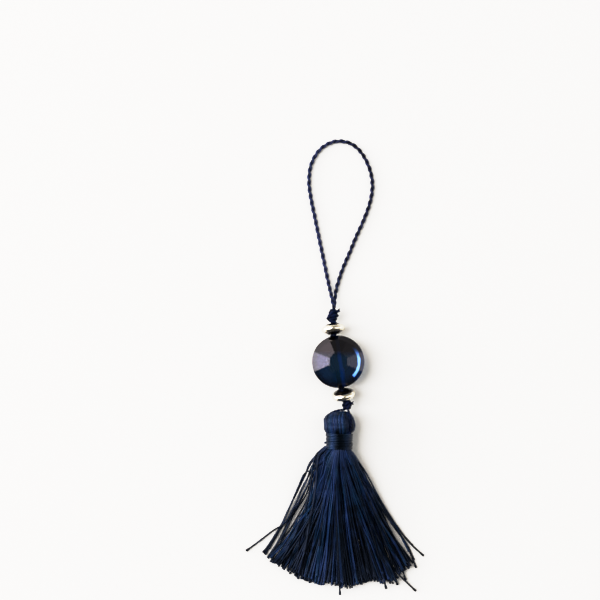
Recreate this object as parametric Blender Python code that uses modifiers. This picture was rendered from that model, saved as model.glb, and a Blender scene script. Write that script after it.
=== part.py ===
"""Bead-and-tassel charm, lying flat on a surface as it falls.

A hanging cord is knotted above a silver spacer, a faceted coin bead and a second
spacer, knotted again, and tied into the head of a yarn tassel whose skirt fans out.

Frame: metres, +Z up, the surface is Z = 0, +Y runs from the skirt to the hanging
loop, and the origin is on the surface under the middle of the bead.
"""

import math

import bmesh
import bpy
import numpy as np
from mathutils import Matrix, Vector

MM = 0.001
MERGE = 0.001 * MM

# Chain: the doubled cord that runs through the spacers and the bead
CORD_DIAMETER = 1.2 * MM
CORD_PLIES = 3
CORD_PLY_GROOVE = 0.17 * MM         # how deep the groove between two plies is
CORD_LAY = 5.4 * MM                 # length of one full turn of the plies
CORD_STEPS_PER_TURN = 7
CORE_STRAND_DIAMETER = 1.0 * MM     # each strand where the cord is squeezed in a hole
CORE_STRAND_SPREAD = 0.96 * MM      # between the centres of its two strands
CHAIN_HEIGHT = 4.0 * MM             # the chain's axis above the surface, at the bead

# Coin bead
BEAD_DIAMETER = 16.0 * MM
BEAD_THICKNESS = 2.0 * CHAIN_HEIGHT
BEAD_GIRDLE = 3.0 * MM              # height of the plain rim
BEAD_SIDES = 48
BEAD_HOLE = 2.6 * MM
BEAD_HOLE_LEAN = math.radians(8.8)  # the hole's top end leans to -X
TABLE_FLAT = 5.2 * MM               # across the flats of the eight-sided table
MAIN_FACETS = 8
MAIN_FACET_REACH = 6.6 * MM         # radius at which the main facets end
MAIN_FACET_DROP = 1.25 * MM         # and how far below the table that is
EDGE_FACETS = 16

# Silver spacers: turned saucers with a round rim
SPACER_DIAMETER = 7.0 * MM
SPACER_THICKNESS = 2.8 * MM
SPACER_RIM = 1.5 * MM               # thickness of the rim
SPACER_HOLE = 2.6 * MM
SPACER_STEPS = 24
SPACER_RIM_STEPS = 4
SPACERS = (
    # name, x, y, height, lean: the +X end turned towards +Y, pitch: the top turned towards +Y
    ("upper_spacer", -1.12 * MM, 10.15 * MM, 3.8 * MM, math.radians(5.0), math.radians(4.0)),
    ("lower_spacer", 1.92 * MM, -10.3 * MM, 3.8 * MM, math.radians(10.8), math.radians(-6.0)),
)

# Knots: the doubled cord wrapped round itself
KNOTS = (
    # name, x, y, height, length, width, lean, turns, first turn, end x, end y, end height
    ("upper_knot", -1.6 * MM, 14.2 * MM, 3.5 * MM, 4.4 * MM, 3.5 * MM,
     math.radians(-24.0), 1.8, math.radians(40.0), 0.1 * MM, 15.75 * MM, 4.3 * MM),
    ("lower_knot", 2.7 * MM, -13.3 * MM, 3.7 * MM, 2.9 * MM, 3.2 * MM,
     math.radians(14.0), 1.5, math.radians(200.0), 4.1 * MM, -12.7 * MM, 4.3 * MM),
)
KNOT_CORD_DIAMETER = 1.05 * MM
KNOT_VOXEL = 0.16 * MM
KNOT_KEEP = 0.13                    # share of the fine mesh that the knots keep

# Hanging loop: x, y, height of its middle line, from the upper knot round and back
LOOP_ROUTE = tuple(Vector(point) * MM for point in (
    (-1.2, 16.75, 4.15), (-1.5, 18.2, 3.6), (-1.95, 20.4, 2.6), (-2.55, 23.2, 1.4),
    (-3.25, 26.6, 0.68), (-4.3, 31.8, 0.62), (-5.7, 38.6, 0.62), (-7.25, 46.2, 0.62),
    (-8.5, 52.6, 0.62), (-8.85, 57.4, 0.62), (-8.1, 62.3, 0.62), (-5.6, 66.6, 0.62),
    (-2.1, 69.0, 0.62), (1.4, 69.5, 0.62), (4.9, 68.4, 0.62), (7.9, 65.4, 0.62),
    (10.2, 60.6, 0.62), (11.05, 55.4, 0.62), (10.3, 50.2, 0.62), (8.4, 44.8, 0.62),
    (5.9, 39.2, 0.62), (3.75, 34.0, 0.62), (1.75, 29.4, 0.62), (0.45, 25.6, 0.66),
    (-0.4, 22.4, 1.05), (-0.85, 19.6, 1.85), (-1.05, 17.1, 2.65),
))

# Tassel head and neck, as sections across +Y, in millimetres:
# y, left edge, right edge, lowest point, highest point
HEAD_SECTIONS = (
    (-15.3, 0.0, 2.2, 3.2, 5.2),
    (-15.65, -1.0, 3.4, 2.1, 6.2),
    (-16.5, -2.5, 4.5, 0.9, 7.3),
    (-17.8, -3.75, 5.2, 0.25, 7.95),
    (-19.3, -4.45, 5.45, 0.0, 8.2),
    (-20.7, -4.2, 5.2, 0.15, 8.1),
    (-21.35, -3.75, 4.75, 0.5, 7.75),
    (-21.4, -2.9, 3.85, 1.05, 7.2),
    (-27.2, -3.1, 3.6, 1.05, 7.1),
    (-27.6, -4.3, 4.6, 0.75, 7.4),
    (-28.4, -5.35, 5.25, 0.4, 7.4),
    (-29.6, -6.1, 5.9, 0.25, 7.2),
)
HEAD_SIDES = 40
HEAD_RIDGE = 0.11 * MM              # height of the yarn ridges over the head
GROOVE_TURN = math.radians(42.0)    # the tie's groove, turned from straight up to +X
GROOVE_WIDTH = math.radians(9.0)
GROOVE_DEPTH = 0.85 * MM
GROOVE_START = -15.5 * MM
GROOVE_END = -21.37 * MM

# Binding thread over the neck
BINDING_TOP = -21.75 * MM
BINDING_BOTTOM = -27.0 * MM
BINDING_X = 0.33 * MM
BINDING_HEIGHT = 4.13 * MM
BINDING_WIDTH = 8.3 * MM
BINDING_DEPTH = 8.0 * MM
BINDING_WALL = 0.55 * MM
BINDING_TURNS = 9
BINDING_TURN_RELIEF = 0.14 * MM
BINDING_STEPS = 28
THREAD_END_RADIUS = 0.35 * MM
THREAD_END = Vector((-4.05, -24.75, 4.2)) * MM

# Tie: the two thin legs from the lower knot round the head
TIE_DIAMETER = 0.65 * MM
TIE_ROUTES = (
    ("tie_left", tuple(Vector(point) * MM for point in (
        (1.75, -14.85, 4.4), (0.7, -14.7, 4.5), (-0.6, -15.05, 4.5), (-1.9, -15.65, 4.3),
        (-3.0, -16.3, 3.9), (-3.85, -17.1, 3.4), (-4.4, -18.0, 2.8), (-4.6, -18.8, 2.2)))),
    ("tie_right", tuple(Vector(point) * MM for point in (
        (3.1, -15.3, 5.3), (3.4, -15.75, 6.0), (3.6, -16.5, 6.7), (3.75, -17.6, 7.2),
        (3.8, -19.2, 7.35), (3.65, -20.7, 7.2)))),
)

# Skirt strands
STRAND_ROOT_Y = -29.6 * MM          # face of the neck from which the strands come out
STRAND_ROOT_DEPTH = 0.7 * MM        # how far each one starts inside the neck
STRAND_ROOT_PITCH = 0.585 * MM
STRAND_ROOT_WIDTH = 10.6 * MM
STRAND_ROOT_HEIGHT = 5.9 * MM
STRAND_ROOT_MIDDLE = Vector((-0.1, 0.0, 3.6)) * MM
STRAND_LAYERS = 4
STRAND_LAYER_RISE = 0.66 * MM
STRAND_SETTLE = (0.42, 0.6, 0.78, 0.95)   # share of its length in which a layer comes down
STRAND_STATIONS = 6
STRAND_ROOT_THICKNESS = 0.36 * MM
STRAND_THICKNESS = 0.44 * MM
STRAND_TIP_THICKNESS = 0.66 * MM
FAN_MIDDLE = 0.5 * MM
FAN_HALF_WIDTH = 22.3 * MM
FAN_RAGGED = 3.0 * MM               # how much above the hem a strand may end
FAN_BELL = 1.15                     # more than 1 spreads the strands later along their length
FAN_SWAY = 0.55 * MM                # how far strands bow to the side, in slow waves

# Hem on which the strands end, in millimetres: x and y from left to right
HEM = (
    (-21.8, -59.6), (-16.9, -63.5), (-11.7, -66.4), (-5.6, -68.0), (1.2, -68.7), (6.0, -68.3),
    (10.5, -66.9), (14.0, -67.3), (17.9, -66.9), (19.3, -64.2), (22.8, -62.0),
)

# Loose strands over and outside the fan, in millimetres:
# root x and height; x, y and height half way; x, y and height at the tip
STRAYS = (
    (-5.7, 4.3, -13.3, -42.6, 1.3, -22.9, -58.7, 0.2),
    (-5.65, 3.1, -14.9, -46.4, 0.5, -28.4, -57.8, 0.2),
    (5.5, 4.1, 14.9, -46.0, 1.3, 26.1, -59.3, 0.2),
    (5.45, 3.0, 15.9, -50.6, 0.5, 24.3, -62.6, 0.2),
    (3.3, 6.1, 12.4, -53.8, 3.7, 23.6, -69.9, 2.2),
    (0.2, 6.7, 0.35, -50.0, 3.7, 0.5, -70.8, 2.6),
)


def clear_scene():
    for item in list(bpy.data.objects):
        bpy.data.objects.remove(item, do_unlink=True)


def make_collection(name):
    group = bpy.data.collections.new(name)
    bpy.context.scene.collection.children.link(group)
    return group


def make_material(name, colour, roughness, metallic=0.0):
    material = bpy.data.materials.new(name)
    material.use_nodes = True
    shader = material.node_tree.nodes["Principled BSDF"]
    shader.inputs["Base Color"].default_value = (*colour, 1.0)
    shader.inputs["Roughness"].default_value = roughness
    shader.inputs["Metallic"].default_value = metallic
    return material


def object_from_bmesh(name, shape, group):
    mesh = bpy.data.meshes.new(name)
    bmesh.ops.recalc_face_normals(shape, faces=shape.faces)
    shape.to_mesh(mesh)
    shape.free()
    item = bpy.data.objects.new(name, mesh)
    group.objects.link(item)
    return item


def finish(item, material, sharp_angle=math.radians(35.0)):
    """Give a mesh its material and smooth its round faces."""
    item.data.materials.clear()
    item.data.materials.append(material)
    item.data.shade_smooth()
    item.data.set_sharp_from_angle(angle=sharp_angle)


def mesh_from_curve(item, group):
    """Swap a curve, or an object with modifiers, for a welded mesh of the same shape."""
    bpy.context.view_layer.update()
    graph = bpy.context.evaluated_depsgraph_get()
    mesh = bpy.data.meshes.new_from_object(item.evaluated_get(graph))
    shape = bmesh.new()
    shape.from_mesh(mesh)
    shape.transform(item.matrix_world)
    bmesh.ops.remove_doubles(shape, verts=shape.verts, dist=MERGE)
    name = item.name
    bpy.data.objects.remove(item, do_unlink=True)
    bpy.data.meshes.remove(mesh)
    return object_from_bmesh(name, shape, group)


def boolean(item, other, operation):
    modifier = item.modifiers.new(operation.title(), "BOOLEAN")
    modifier.operation = operation
    modifier.solver = "EXACT"
    modifier.object = other


def hide_as_cutter(item):
    item.hide_render = True
    item.display_type = "WIRE"


def smooth_route(points, step):
    """Points about one step apart on a Catmull-Rom curve through the given ones."""
    fine = []
    ends = [points[0] * 2 - points[1], *points, points[-1] * 2 - points[-2]]
    for before, start, end, after in zip(ends, ends[1:], ends[2:], ends[3:]):
        for share in np.linspace(0.0, 1.0, 24, endpoint=False):
            fine.append(0.5 * ((2 * start) + (end - before) * share
                               + (2 * before - 5 * start + 4 * end - after) * share ** 2
                               + (3 * start - before - 3 * end + after) * share ** 3))
    fine = np.array([*fine, points[-1]])
    travelled = np.concatenate([[0.0], np.cumsum(np.linalg.norm(np.diff(fine, axis=0), axis=1))])
    count = max(2, round(travelled[-1] / step)) + 1
    stations = np.linspace(0.0, travelled[-1], count)
    return [Vector(np.interp(station, travelled, fine[:, axis]) for axis in range(3))
            for station in stations], travelled[-1]


def curve_object(name, routes, group):
    """A curve with one POLY spline for each route of (point, radius, tilt)."""
    curve = bpy.data.curves.new(name, "CURVE")
    curve.dimensions = "3D"
    curve.use_fill_caps = True
    curve.bevel_resolution = 2
    for route in routes:
        spline = curve.splines.new("POLY")
        spline.points.add(len(route) - 1)
        for target, (point, radius, tilt) in zip(spline.points, route):
            target.co = (*point, 1.0)
            target.radius = radius
            target.tilt = tilt
    item = bpy.data.objects.new(name, curve)
    group.objects.link(item)
    return item


def section_curve(name, radii, group, turn=0.0):
    """A closed flat outline, one corner for each radius."""
    curve = bpy.data.curves.new(name, "CURVE")
    curve.dimensions = "2D"
    curve.fill_mode = "NONE"
    spline = curve.splines.new("POLY")
    spline.points.add(len(radii) - 1)
    for index, (target, radius) in enumerate(zip(spline.points, radii)):
        angle = turn + math.tau * index / len(radii)
        target.co = (radius * math.cos(angle), radius * math.sin(angle), 0.0, 1.0)
    spline.use_cyclic_u = True
    item = bpy.data.objects.new(name, curve)
    group.objects.link(item)
    hide_as_cutter(item)
    return item


def loft(name, rings, group):
    """One closed body through rings of equally many points, with flat ends."""
    shape = bmesh.new()
    rows = [[shape.verts.new(point) for point in ring] for ring in rings]
    for row, following in zip(rows, rows[1:]):
        for index in range(len(row)):
            after = (index + 1) % len(row)
            shape.faces.new((row[index], row[after], following[after], following[index]))
    shape.faces.new(rows[0])
    shape.faces.new(reversed(rows[-1]))
    return object_from_bmesh(name, shape, group)


def turned(name, profile, steps, group):
    """A closed (radius, height) profile turned round +Z, outer side from top to bottom."""
    shape = bmesh.new()
    points = [shape.verts.new((radius, 0.0, height)) for radius, height in profile]
    for start, end in zip(points, [*points[1:], points[0]]):
        shape.edges.new((start, end))
    mesh = bpy.data.meshes.new(name)
    shape.to_mesh(mesh)
    shape.free()
    item = bpy.data.objects.new(name, mesh)
    group.objects.link(item)
    screw = item.modifiers.new("Turn", "SCREW")
    screw.steps = steps
    screw.render_steps = steps
    screw.use_merge_vertices = True
    screw.merge_threshold = MERGE
    return item


def cut_facets(shape, count, first_turn, near, far):
    """Cut facets all round through two (radius, height) points, on both faces."""
    near = Vector((near[0], 0.0, near[1]))
    far = Vector((far[0], 0.0, far[1]))
    slope = (far - near).normalized()
    for side in (1.0, -1.0):
        for index in range(count):
            turn = Matrix.Rotation(first_turn + math.tau * index / count, 3, "Z")
            normal = turn @ Vector((-slope.z, 0.0, slope.x * side))
            point = turn @ Vector((near.x, 0.0, near.z * side))
            cut = bmesh.ops.bisect_plane(
                shape, geom=[*shape.verts, *shape.edges, *shape.faces], dist=MERGE,
                plane_co=point, plane_no=normal, clear_outer=True)
            rim = [edge for edge in cut["geom_cut"] if isinstance(edge, bmesh.types.BMEdge)]
            bmesh.ops.holes_fill(shape, edges=rim)


def make_bead(group, cutters, material):
    """The coin: a plain disc cut by main facets, then by edge facets, then drilled."""
    shape = bmesh.new()
    bmesh.ops.create_cone(shape, cap_ends=True, segments=BEAD_SIDES, radius1=BEAD_DIAMETER / 2,
                          radius2=BEAD_DIAMETER / 2, depth=BEAD_THICKNESS)
    table = (TABLE_FLAT / 2, BEAD_THICKNESS / 2)
    knee = (MAIN_FACET_REACH, BEAD_THICKNESS / 2 - MAIN_FACET_DROP)
    girdle = (BEAD_DIAMETER / 2, BEAD_GIRDLE / 2)
    cut_facets(shape, MAIN_FACETS, 0.0, table, knee)
    cut_facets(shape, EDGE_FACETS, math.pi / EDGE_FACETS, knee, girdle)
    bmesh.ops.remove_doubles(shape, verts=shape.verts, dist=MERGE)
    bead = object_from_bmesh("bead", shape, group)
    bead.location = (0.0, 0.0, CHAIN_HEIGHT)
    finish(bead, material, math.radians(5.0))

    drill = bmesh.new()
    bmesh.ops.create_cone(drill, cap_ends=True, segments=16, radius1=BEAD_HOLE / 2,
                          radius2=BEAD_HOLE / 2, depth=BEAD_DIAMETER * 1.5)
    cutter = object_from_bmesh("bead_drill", drill, cutters)
    cutter.rotation_euler = (math.pi / 2, 0.0, BEAD_HOLE_LEAN)
    cutter.location = bead.location
    hide_as_cutter(cutter)
    boolean(bead, cutter, "DIFFERENCE")


def spacer_profile():
    """Hub face, sloping saucer, half-round rim and back, as (radius, height)."""
    rim = SPACER_RIM / 2
    outer = SPACER_DIAMETER / 2 - rim
    hub = SPACER_THICKNESS / 2
    profile = [(SPACER_HOLE / 2, hub), (SPACER_HOLE / 2 + 0.35 * MM, hub)]
    for step in range(SPACER_RIM_STEPS + 1):
        angle = math.pi * (0.5 - step / SPACER_RIM_STEPS)
        profile.append((outer + rim * math.cos(angle), rim * math.sin(angle)))
    profile += [(SPACER_HOLE / 2 + 0.35 * MM, -hub), (SPACER_HOLE / 2, -hub)]
    return profile


def make_spacers(group, material):
    for name, x, y, height, lean, pitch in SPACERS:
        spacer = turned(name, spacer_profile(), SPACER_STEPS, group)
        spacer.location = (x, y, height)
        spacer.rotation_euler = (math.pi / 2 - pitch, 0.0, lean)
        finish(spacer, material)


def make_core_cord(group, material):
    """The doubled cord through both spacers and the bead, its strands squeezed together."""
    reach = BEAD_DIAMETER / 2
    lean = Vector((-math.sin(BEAD_HOLE_LEAN), math.cos(BEAD_HOLE_LEAN), 0.0))
    middle = Vector((0.0, 0.0, CHAIN_HEIGHT))
    upper, lower = (Vector((x, y, height)) for _, x, y, height, _, _ in SPACERS)
    points = [upper + Vector((-0.1, 1.6, -0.02)) * MM, upper, middle + lean * reach * 0.86, middle,
              middle - lean * reach * 0.86, lower, lower + Vector((0.2, -1.5, -0.02)) * MM]
    route, _ = smooth_route(points, 1.6 * MM)
    strands = []
    for side in (-0.5, 0.5):
        offset = Vector((side * CORE_STRAND_SPREAD, 0.0, 0.0))
        strands.append([(point + offset, 1.0, 0.0) for point in route])
    pieces = []
    for index, strand in enumerate(strands):
        curve = curve_object(f"core_strand_{index}", [strand], group)
        curve.data.bevel_depth = CORE_STRAND_DIAMETER / 2
        pieces.append(mesh_from_curve(curve, group))
    cord, other = pieces
    boolean(cord, other, "UNION")
    joined = mesh_from_curve(cord, group)
    bpy.data.objects.remove(other, do_unlink=True)
    joined.name = "core_cord"
    finish(joined, material)


def knot_routes(length, width, lean, turns, first_turn, centre):
    """Both strands of a doubled cord, wrapped round the knot's own axis."""
    wrap = width / 2 - KNOT_CORD_DIAMETER / 2
    travel = length - KNOT_CORD_DIAMETER
    tip = Matrix.Rotation(lean, 3, "Z")
    routes = []
    for side in (-0.5, 0.5):
        route = []
        for share in np.linspace(0.0, 1.0, 30):
            swell = wrap * math.sin(math.pi * share) ** 0.5
            angle = first_turn + math.tau * turns * share
            along = travel * (0.5 - share) + side * KNOT_CORD_DIAMETER * math.sin(math.pi * share)
            point = Vector((swell * math.cos(angle), along, swell * math.sin(angle)))
            route.append((centre + tip @ point, 1.0, 0.0))
        routes.append(route)
    return routes


def make_knots(group, material):
    for (name, x, y, height, length, width, lean, turns, first_turn,
         end_x, end_y, end_height) in KNOTS:
        centre = Vector((x, y, height))
        routes = knot_routes(length, width, lean, turns, first_turn, centre)
        axis = Matrix.Rotation(lean, 3, "Z") @ Vector((0.0, length / 2 - KNOT_CORD_DIAMETER / 2, 0.0))
        routes.append([(centre + axis, 1.0, 0.0), (centre, 1.1, 0.0), (centre - axis, 1.0, 0.0)])
        routes.append([(centre, 1.0, 0.0), (Vector((end_x, end_y, end_height)), 0.8, 0.0)])
        curve = curve_object(name + "_cords", routes, group)
        curve.data.bevel_depth = KNOT_CORD_DIAMETER / 2
        remesh = curve_to_lumpy(curve, group)
        remesh.name = name
        finish(remesh, material, math.radians(60.0))


def curve_to_lumpy(curve, group):
    """Fuse overlapping cords into one closed body and thin its mesh."""
    lumps = mesh_from_curve(curve, group)
    remesh = lumps.modifiers.new("Fuse", "REMESH")
    remesh.mode = "VOXEL"
    remesh.voxel_size = KNOT_VOXEL
    thin = lumps.modifiers.new("Thin", "DECIMATE")
    thin.ratio = KNOT_KEEP
    return mesh_from_curve(lumps, group)


def cord_section(name, diameter, group):
    """Outline of a plied cord: a crest on each ply, a groove between two."""
    crest = diameter / 2
    return section_curve(name, [crest, crest - CORD_PLY_GROOVE] * CORD_PLIES, group)


def make_hanging_loop(group, cutters, material):
    step = CORD_LAY / CORD_STEPS_PER_TURN
    route, length = smooth_route(LOOP_ROUTE, step)
    turn_per_step = -math.tau * (length / (len(route) - 1)) / CORD_LAY
    stations = [(point, 1.0, index * turn_per_step) for index, point in enumerate(route)]
    loop = curve_object("hanging_loop", [stations], group)
    loop.data.bevel_mode = "OBJECT"
    loop.data.bevel_object = cord_section("cord_section", CORD_DIAMETER, cutters)
    finish(mesh_from_curve(loop, group), material)


def make_ties(group, cutters, material):
    section = cord_section("tie_section", TIE_DIAMETER, cutters)
    for name, points in TIE_ROUTES:
        route, _ = smooth_route(points, 0.8 * MM)
        stations = [(point, 1.0, index * 0.9) for index, point in enumerate(route)]
        tie = curve_object(name, [stations], group)
        tie.data.bevel_mode = "OBJECT"
        tie.data.bevel_object = section
        finish(mesh_from_curve(tie, group), material)


def head_rings():
    """Rings of the head and neck: ridged all round, with the tie's groove in front."""
    rings = []
    for y, left, right, low, high in HEAD_SECTIONS:
        y, left, right, low, high = (value * MM for value in (y, left, right, low, high))
        ring = []
        for index in range(HEAD_SIDES):
            angle = math.tau * index / HEAD_SIDES
            inward = HEAD_RIDGE * (index % 2)
            if GROOVE_END <= y <= GROOVE_START:
                inward += GROOVE_DEPTH * math.exp(-((angle - GROOVE_TURN) / GROOVE_WIDTH) ** 2)
            ring.append((
                (left + right) / 2 + ((right - left) / 2 - inward) * math.sin(angle), y,
                (low + high) / 2 + ((high - low) / 2 - inward) * math.cos(angle)))
        rings.append(ring)
    return rings


def strand_roots():
    """Root places on a close-packed grid inside the neck's oval, as (x, z)."""
    rows = int(STRAND_ROOT_HEIGHT / STRAND_ROOT_PITCH) + 1
    columns = int(STRAND_ROOT_WIDTH / STRAND_ROOT_PITCH) + 1
    roots = []
    for row in range(-rows, rows + 1):
        for column in range(-columns, columns + 1):
            x = (column + 0.5 * (row % 2)) * STRAND_ROOT_PITCH
            z = row * STRAND_ROOT_PITCH * math.sqrt(3.0) / 2
            if math.hypot(2 * x / STRAND_ROOT_WIDTH, 2 * z / STRAND_ROOT_HEIGHT) <= 1.0:
                roots.append(Vector((x, 0.0, z)) + STRAND_ROOT_MIDDLE)
    return sorted(roots, key=lambda root: (root.z, root.x))


def strand_size(share):
    """Thickness of a strand, which blooms towards its cut end."""
    return np.interp(share, (0.0, 0.35, 1.0),
                     (STRAND_ROOT_THICKNESS, STRAND_THICKNESS, STRAND_TIP_THICKNESS))


def fan_strand(root, layer, place, index):
    """One strand of the fan, bowed a little and settling on the layers below it."""
    x = FAN_MIDDLE + FAN_HALF_WIDTH * place
    short = FAN_RAGGED * (0.5 - 0.5 * math.cos(2.4 * index + 1.7 * layer))
    tip = Vector((x, np.interp(x / MM, *zip(*HEM)) * MM + short, 0.0))
    start = Vector((root.x, STRAND_ROOT_Y + STRAND_ROOT_DEPTH, 0.0))
    sway = FAN_SWAY * math.sin(5.0 * place + 1.9 * layer)
    route = []
    for step in range(STRAND_STATIONS + 1):
        share = step / STRAND_STATIONS
        size = strand_size(share)
        rest = size / (2 * math.sqrt(3.0)) + layer * STRAND_LAYER_RISE
        settle = max(0.0, 1.0 - share / STRAND_SETTLE[layer]) ** 1.5
        point = start.lerp(tip, share)
        point.x = start.x + (tip.x - start.x) * share ** FAN_BELL + sway * math.sin(math.pi * share)
        point.z = rest + (root.z - rest) * settle
        route.append((point, size / math.sqrt(3.0), 0.0))
    return route


def stray_strand(row):
    """One loose strand through its root, its middle place and its tip."""
    root_x, root_z, *places = (value * MM for value in row)
    root = Vector((root_x, STRAND_ROOT_Y + STRAND_ROOT_DEPTH, root_z))
    middle, tip = Vector(places[:3]), Vector(places[3:])
    bend = 2 * middle - (root + tip) / 2
    route = []
    for step in range(STRAND_STATIONS + 1):
        share = step / STRAND_STATIONS
        size = strand_size(share)
        point = root.lerp(bend, share).lerp(bend.lerp(tip, share), share)
        point.z = max(point.z, size / (2 * math.sqrt(3.0)))
        route.append((point, size / math.sqrt(3.0), 0.0))
    return route


def strand_routes():
    """All strands: the roots in layers from below, each layer spread from side to side."""
    roots = strand_roots()
    share = len(roots) / STRAND_LAYERS
    routes = []
    for layer in range(STRAND_LAYERS):
        row = sorted(roots[round(layer * share):round((layer + 1) * share)],
                     key=lambda root: root.x)
        for index, root in enumerate(row):
            place = 2.0 * (index + 0.5) / len(row) - 1.0
            routes.append(fan_strand(root, layer, place, index))
    routes.extend(stray_strand(row) for row in STRAYS)
    return routes


def make_tassel_yarn(group, cutters, material):
    """Head, neck and skirt strands, fused into one hank of yarn."""
    hank = loft("tassel_yarn", head_rings(), group)
    routes = strand_routes()
    strands = curve_object("strands", routes, group)
    strands.data.twist_mode = "Z_UP"
    strands.data.bevel_mode = "OBJECT"
    strands.data.bevel_object = section_curve("strand_section", [1.0] * 3, cutters, math.pi / 2)
    strands = mesh_from_curve(strands, group)
    boolean(hank, strands, "UNION")
    yarn = mesh_from_curve(hank, group)
    bpy.data.objects.remove(strands, do_unlink=True)
    finish(yarn, material)


def binding_profile():
    """Wound thread over a thin wall, as (radius, height), outer side from the top down."""
    length = BINDING_TOP - BINDING_BOTTOM
    outer = BINDING_WIDTH / 2
    inner = outer - BINDING_WALL
    turn = length / BINDING_TURNS
    profile = [(inner, length / 2)]
    for index in range(BINDING_TURNS):
        top = length / 2 - index * turn
        profile.append((outer - BINDING_TURN_RELIEF, top))
        profile.append((outer, top - turn / 2))
    profile.append((outer - BINDING_TURN_RELIEF, -length / 2))
    profile.append((inner, -length / 2))
    return profile


def make_binding(group, cutters, material):
    binding = turned("binding", binding_profile(), BINDING_STEPS, group)
    binding.scale = (1.0, BINDING_DEPTH / BINDING_WIDTH, 1.0)
    binding.rotation_euler = (-math.pi / 2, 0.0, 0.0)
    binding.location = (BINDING_X, (BINDING_TOP + BINDING_BOTTOM) / 2, BINDING_HEIGHT)
    end = bmesh.new()
    bmesh.ops.create_uvsphere(end, u_segments=8, v_segments=6, radius=THREAD_END_RADIUS)
    nub = object_from_bmesh("thread_end", end, cutters)
    nub.location = THREAD_END
    hide_as_cutter(nub)
    boolean(binding, nub, "UNION")
    finish(binding, material)


def build():
    clear_scene()
    charm = make_collection("tassel")
    cutters = make_collection("cutters")
    navy_cord = make_material("navy_cord", (0.010, 0.017, 0.052), 0.6)
    navy_yarn = make_material("navy_yarn", (0.012, 0.022, 0.070), 0.45)
    navy_thread = make_material("navy_thread", (0.016, 0.026, 0.065), 0.35)
    navy_glass = make_material("navy_glass", (0.010, 0.020, 0.060), 0.05)
    silver = make_material("silver", (0.86, 0.83, 0.76), 0.15, 1.0)
    make_bead(charm, cutters, navy_glass)
    make_spacers(charm, silver)
    make_core_cord(charm, navy_cord)
    make_knots(charm, navy_cord)
    make_hanging_loop(charm, cutters, navy_cord)
    make_ties(charm, cutters, navy_cord)
    make_tassel_yarn(charm, cutters, navy_yarn)
    make_binding(charm, cutters, navy_thread)


build()
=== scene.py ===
"""Bead-and-tassel charm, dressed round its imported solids.

A twisted hanging cord is knotted above a silver spacer, a faceted coin bead of blue
crystal and a second spacer, knotted again, and tied into the head of a rayon tassel.

Frame: metres, +Z up, the surface is Z = 0, +Y runs from the skirt to the hanging loop,
and the origin is on the surface under the middle of the bead.
"""

from __future__ import annotations

import logging
import math
import random
from collections.abc import Callable, Iterable, Iterator, Sequence
from contextlib import contextmanager
from dataclasses import dataclass
from enum import Enum
from functools import partial

import bmesh
import bpy
import numpy as np
from mathutils import Matrix, Vector
from mathutils.kdtree import KDTree

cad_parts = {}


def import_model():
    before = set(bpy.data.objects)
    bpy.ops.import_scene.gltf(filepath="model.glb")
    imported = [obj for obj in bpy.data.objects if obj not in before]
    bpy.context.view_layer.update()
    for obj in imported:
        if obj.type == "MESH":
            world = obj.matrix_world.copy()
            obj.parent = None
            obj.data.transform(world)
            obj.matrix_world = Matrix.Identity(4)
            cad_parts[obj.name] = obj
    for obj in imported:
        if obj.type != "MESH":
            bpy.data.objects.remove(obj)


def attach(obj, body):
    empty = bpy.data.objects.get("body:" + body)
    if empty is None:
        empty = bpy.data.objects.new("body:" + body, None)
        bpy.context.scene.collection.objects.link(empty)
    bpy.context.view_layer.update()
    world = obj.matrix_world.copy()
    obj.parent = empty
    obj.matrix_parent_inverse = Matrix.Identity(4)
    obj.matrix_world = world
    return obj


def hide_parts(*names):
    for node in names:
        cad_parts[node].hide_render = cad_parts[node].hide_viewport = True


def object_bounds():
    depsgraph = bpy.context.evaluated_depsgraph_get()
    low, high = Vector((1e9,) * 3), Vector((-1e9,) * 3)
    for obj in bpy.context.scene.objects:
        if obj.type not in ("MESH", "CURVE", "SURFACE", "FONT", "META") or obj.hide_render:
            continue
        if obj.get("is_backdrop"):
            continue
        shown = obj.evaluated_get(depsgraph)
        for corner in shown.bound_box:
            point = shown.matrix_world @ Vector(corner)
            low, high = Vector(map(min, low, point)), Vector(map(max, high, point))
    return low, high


LOG = logging.getLogger("tassel")

MM = 0.001
MERGE = 1e-7                        # vertices closer than this are one
FULL_TURN = math.tau
CURVE_STEPS = 24                    # between two corners of a route, before it is measured
ROOT = "root"
PRINCIPLED = "Principled BSDF"

Route = list[Vector]
Pair = tuple[float, float]
Triple = tuple[float, float, float]
Quad = tuple[float, float, float, float]
Colour = Quad
Output = tuple[bpy.types.Node, str | int]    # one output of a shader node


class Slot(Enum):
    """Material slots of the part's record."""

    CORD = "cord"
    YARN = "yarn"
    THREAD = "binding_thread"
    GLASS = "bead_glass"
    METAL = "spacer_metal"


# ---------------------------------------------------------------- small tools


def srgb(hex_colour: str) -> Colour:
    """Turn a hex colour into the linear colour that shaders take.

    Args:
        hex_colour: Six hex digits after a hash sign.

    Returns:
        Linear red, green, blue and an alpha of one.
    """
    parts = [int(hex_colour[place:place + 2], 16) / 255.0 for place in (1, 3, 5)]
    linear = [part / 12.92 if part <= 0.04045 else ((part + 0.055) / 1.055) ** 2.4
              for part in parts]
    return (linear[0], linear[1], linear[2], 1.0)


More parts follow.
